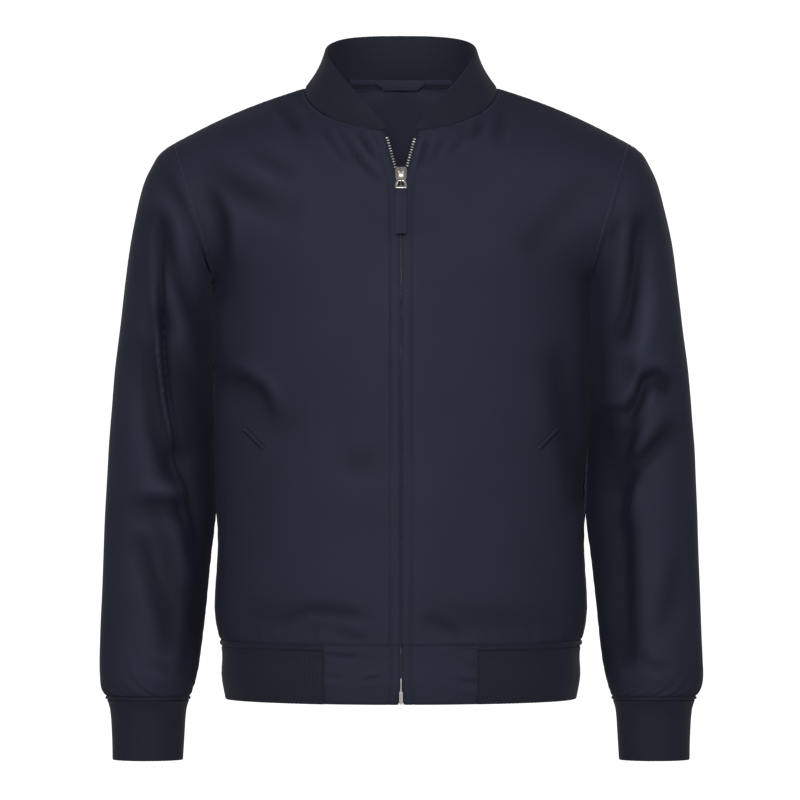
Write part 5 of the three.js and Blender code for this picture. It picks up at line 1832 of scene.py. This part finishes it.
class Pockets:
    """A narrow slanted welt on each front, with thin near-black strips of painted shadow along its edges."""

    width: float = 3.6 * MM
    lift: float = 1.3 * MM

    def build(self, panels: BodyPanels, wardrobe: Wardrobe, stitching: Stitching) -> None:
        """Makes both welts, on the fronts, and the painted shadow strips beside them.

        Args:
            panels: Fronts that carry them.
            wardrobe: Finishes.
            stitching: Thread that holds them.
        """
        for side in Side:
            name, front = f"pocket_welt_{SIDE_WORDS[side]}", f"front_{SIDE_WORDS[side]}"
            grid = self.strip(panels, side, 0.0, self.width, self.lift, 9)
            piece = lay_cloth(name + "_cloth", grid)
            thicken(piece, 1 * MM)
            wardrobe.put(piece, wardrobe.cloth)
            declare(piece, "jacket", (name,))
            for column in (1, 23):
                stitching.sew((grid.points[1:-1, column], grid.normals()[1:-1, column]), ends=0.3 * MM)
            # Painted shadow: near-black strips in the pocket's opening below the welt and in the seam above
            # it
            shadow_strips = [(self.width / 2 + 0.75 * MM, 1.5 * MM), (-self.width / 2 - 0.4 * MM, 0.8 * MM)]
            layers = []
            for index, (aside, wide) in enumerate(shadow_strips):
                grid = self.strip(panels, side, aside, wide, 1.1 * MM, 3)
                layers.append(lay_cloth(f"mouth_{index}", grid))
            shadow_piece = join(layers, f"pocket_painted_shadow_{SIDE_WORDS[side]}", False)
            thicken(shadow_piece, 0.5 * MM)
            wardrobe.put(shadow_piece, wardrobe.dark)
            declare(shadow_piece, "jacket")

    @staticmethod
    def strip(panels: BodyPanels, side: Side, aside: float, wide: float, lift: float, rows: int) -> ClothGrid:
        """A narrow strip along the pocket's line.

        Args:
            panels: Fronts that carry it.
            side: Side of the front.
            aside: How far below the line its middle runs.
            wide: Its width.
            lift: How far its middle stands off the front.
            rows: Number of rows across.

        Returns:
            The strip's grid.
        """
        along, across = np.linspace(0, 1, 25), np.linspace(-0.5, 0.5, rows)
        inner, outer = np.array((141.5, -377.5)) * MM, np.array((161.5, -357.5)) * MM
        line = inner + (outer - inner) * along[:, None]
        below = np.array((1.0, -1.0)) / math.sqrt(2)
        places = line[None] + (aside + across * wide)[:, None, None] * below
        flat = places.reshape(-1, 2) * (side.value, 1)
        points, out = panels.place_on_front(side, flat)
        crown = np.cos(math.pi * across * 0.92) ** 0.5
        ends = np.clip(np.minimum(along, 1 - along) / 0.06, 0, 1) ** 0.5
        height = (lift * 0.5 + lift * 0.7 * crown[:, None] * ends[None, :]).reshape(-1, 1)
        return ClothGrid((points + out * height).reshape(rows, 25, 3))


class NeckFinish:
    """Tape over the back neck seam, and the blank hanger tab below its middle."""

    inset: float = 1.4
    half: float = 54.0

    @staticmethod
    def inside(x: Array, z: Array, inset: float) -> Array:
        """Points inside the back neck, in metres, at half widths and heights in millimetres."""
        form = BodyForm()
        depth = form.neck_reach[1] * np.sin(np.arccos(x / form.neck_half_width)) - RibKnit.wall / MM - inset
        depth = depth + np.where(z > 0, -0.2 * z, -0.35 * z)
        return np.stack([x, depth, z], -1) * MM

    def build(self, wardrobe: Wardrobe, stitching: Stitching) -> None:
        """Makes the tape and the tab."""
        x, z = np.meshgrid(np.linspace(-self.half, self.half, 61), np.linspace(6.0, 11.5, 9))
        points = self.inside(x, z, self.inset)
        swell = 0.5 * MM * np.sin(math.pi * np.linspace(0, 1, 9))[:, None]
        points[..., 1] -= swell
        self.lay("neck_tape", points, wardrobe, "tape_cloth", (0.112, 0.010), 0.00066)
        share = np.linspace(0, 1, 15)
        height = lerp(11.5, 0.3, share)
        taper = np.clip((share - 0.35) / 0.55, 0, 1)
        half = lerp(25.5, 18.5, taper**1.2)
        x = half[:, None] * np.linspace(-1, 1, 41)[None, :]
        z = np.repeat(height[:, None], 41, 1)
        points = self.inside(x, np.zeros_like(z), self.inset + 3.05)
        points[..., 2] = z * MM
        points[..., 1] -= 0.9 * MM * np.sin(math.pi * share)[:, None]
        self.lay("hanger_tab", points, wardrobe, "shell_cloth", (0.051, 0.0116))
        line = points[2, 2:-2], np.tile(np.array([0.0, -1.0, 0.0]), (37, 1))
        stitching.sew(line, sink=0.0)

    @staticmethod
    def lay(
        name: str,
        points: Array,
        wardrobe: Wardrobe,
        slot: str,
        flat: tuple[float, float],
        area: float | None = None,
    ) -> None:
        """Lays one strip with its outside towards the neck."""
        piece = lay_cloth(name + "_cloth", ClothGrid(points))
        if piece.data.polygons[len(piece.data.polygons) // 2].normal.y > 0:
            edit(piece, bpy.ops.mesh.flip_normals)
        thicken(piece, 1 * MM)
        wardrobe.put(piece, wardrobe.cloth)
        declare(piece, "jacket", (name,))


class Studio:
    """Plain pale floor and backdrop all round, soft lights, and the camera of the photo's view.

    The middle is what the camera looks at, as x and z. Shown is how wide a view it has there.
    """

    floor: float = -1.5
    radius: float = 7.6
    height: float = 5.0
    middle: tuple[float, float] = (-0.00105, -0.3276)
    distance: float = 6.0
    bend: float = 0.45
    shown: float = 0.84
    sensor: float = 36.0

    def backdrop(self) -> None:
        """Makes the floor and the wall round it as one curved sheet."""
        turn, bend = np.linspace(0, math.pi / 2, 13), self.bend
        reach = np.concatenate([[0.0], self.radius - bend + bend * np.sin(turn), [self.radius]])
        rise = np.concatenate([[self.floor], self.floor + bend - bend * np.cos(turn), [self.height]])
        around = np.linspace(0, 2 * math.pi, 73)
        x, y = reach[:, None] * np.sin(around), reach[:, None] * np.cos(around)
        points = np.stack([x, y, np.repeat(rise[:, None], len(around), 1)], -1)
        piece = shaped_grid("studio_backdrop", points, points[..., :2])
        edit(piece, lambda: bpy.ops.mesh.remove_doubles(threshold=0.0001))
        smooth(piece, 60)
        Wardrobe.put(piece, self.paper())
        piece.visible_diffuse = False

    def paper(self) -> Material:
        """Pale paper that glows where it stands behind the jacket, and less elsewhere."""
        board = ShaderBoard("pale_paper", Roughness=0.9, Base_Color=(0.92, 0.92, 0.92, 1))
        board.shader.inputs["Emission Color"].default_value = (1, 1, 1, 1)
        split = board.add("SeparateXYZ")
        board.link(board.place("Object"), split.inputs[0])
        ranges = (("Z", self.floor + 0.01, self.floor + 0.2), ("Y", 5.0, 7.1))
        shares = []
        for axis, low, high in ranges:
            ramp = board.add("MapRange", {"From Min": low, "From Max": high})
            board.link(split.outputs[axis], ramp.inputs["Value"])
            shares.append(ramp.outputs["Result"])
        glow = board.combine("MULTIPLY", board.combine("MULTIPLY", shares[0], shares[1]), 0.72)
        board.link(board.combine("ADD", glow, 0.26), board.shader.inputs["Emission Strength"])
        return board.material

    @staticmethod
    def lamp(
        name: str, place: tuple[float, float, float], size: tuple[float, float], power: float, spread: float
    ) -> None:
        """Adds a soft light that looks at the chest of the jacket, with its spread in degrees."""
        deselect()
        bpy.ops.object.light_add(type="AREA", location=place)
        lamp = bpy.context.active_object
        lamp.name = name
        lamp.data.shape, lamp.data.energy = "RECTANGLE", power
        lamp.data.size, lamp.data.size_y = size
        lamp.data.spread = math.radians(spread)
        lamp.visible_camera = False
        aim = Vector((0, 0, -0.25)) - Vector(place)
        lamp.rotation_euler = aim.to_track_quat("-Z", "Y").to_euler()

    def build(self) -> None:
        """Makes the studio."""
        self.backdrop()
        self.lamp("front_softbox", (-0.15, -3.5, 0.55), (1.3, 1.1), 9.6, 52)
        self.lamp("left_softbox", (-3.4, -1.8, 0.6), (1.2, 2.4), 13.0, 180)
        self.lamp("right_softbox", (3.4, -1.8, 0.6), (1.2, 2.4), 13.0, 180)
        self.lamp("top_softbox", (0.0, -0.6, 2.8), (2.4, 1.6), 3.5, 180)
        world = bpy.data.worlds.new("pale_room")
        bpy.context.scene.world = world
        world.use_nodes = True
        light = world.node_tree.nodes["Background"].inputs
        light["Color"].default_value, light["Strength"].default_value = (1, 1, 1, 1), 0.1
        bpy.context.scene.view_settings.view_transform = "Standard"
        deselect()
        place = (self.middle[0], -self.distance, self.middle[1])
        bpy.ops.object.camera_add(location=place, rotation=(math.pi / 2, 0, 0))
        camera = bpy.context.active_object
        camera.data.sensor_width = self.sensor
        camera.data.lens = self.sensor * self.distance / self.shown
        camera.data.clip_end = 30
        bpy.context.scene.camera = camera


def main() -> None:
    """Builds the dressed jacket and its studio in order."""
    logging.basicConfig(level=logging.INFO, format="%(message)s")
    wardrobe = Wardrobe()
    stitching = Stitching()
    body = BodyForm()
    panels = BodyPanels(body)
    panels.build(wardrobe)
    panels.sew(stitching)
    Sleeves().build(wardrobe)
    RibBands(body).build(wardrobe)
    Pockets().build(panels, wardrobe, stitching)
    NeckFinish().build(wardrobe, stitching)
    Zip(body).build(wardrobe, stitching)
    stitching.build(wardrobe)
    Studio().build()


if __name__ == "__main__":
    main()
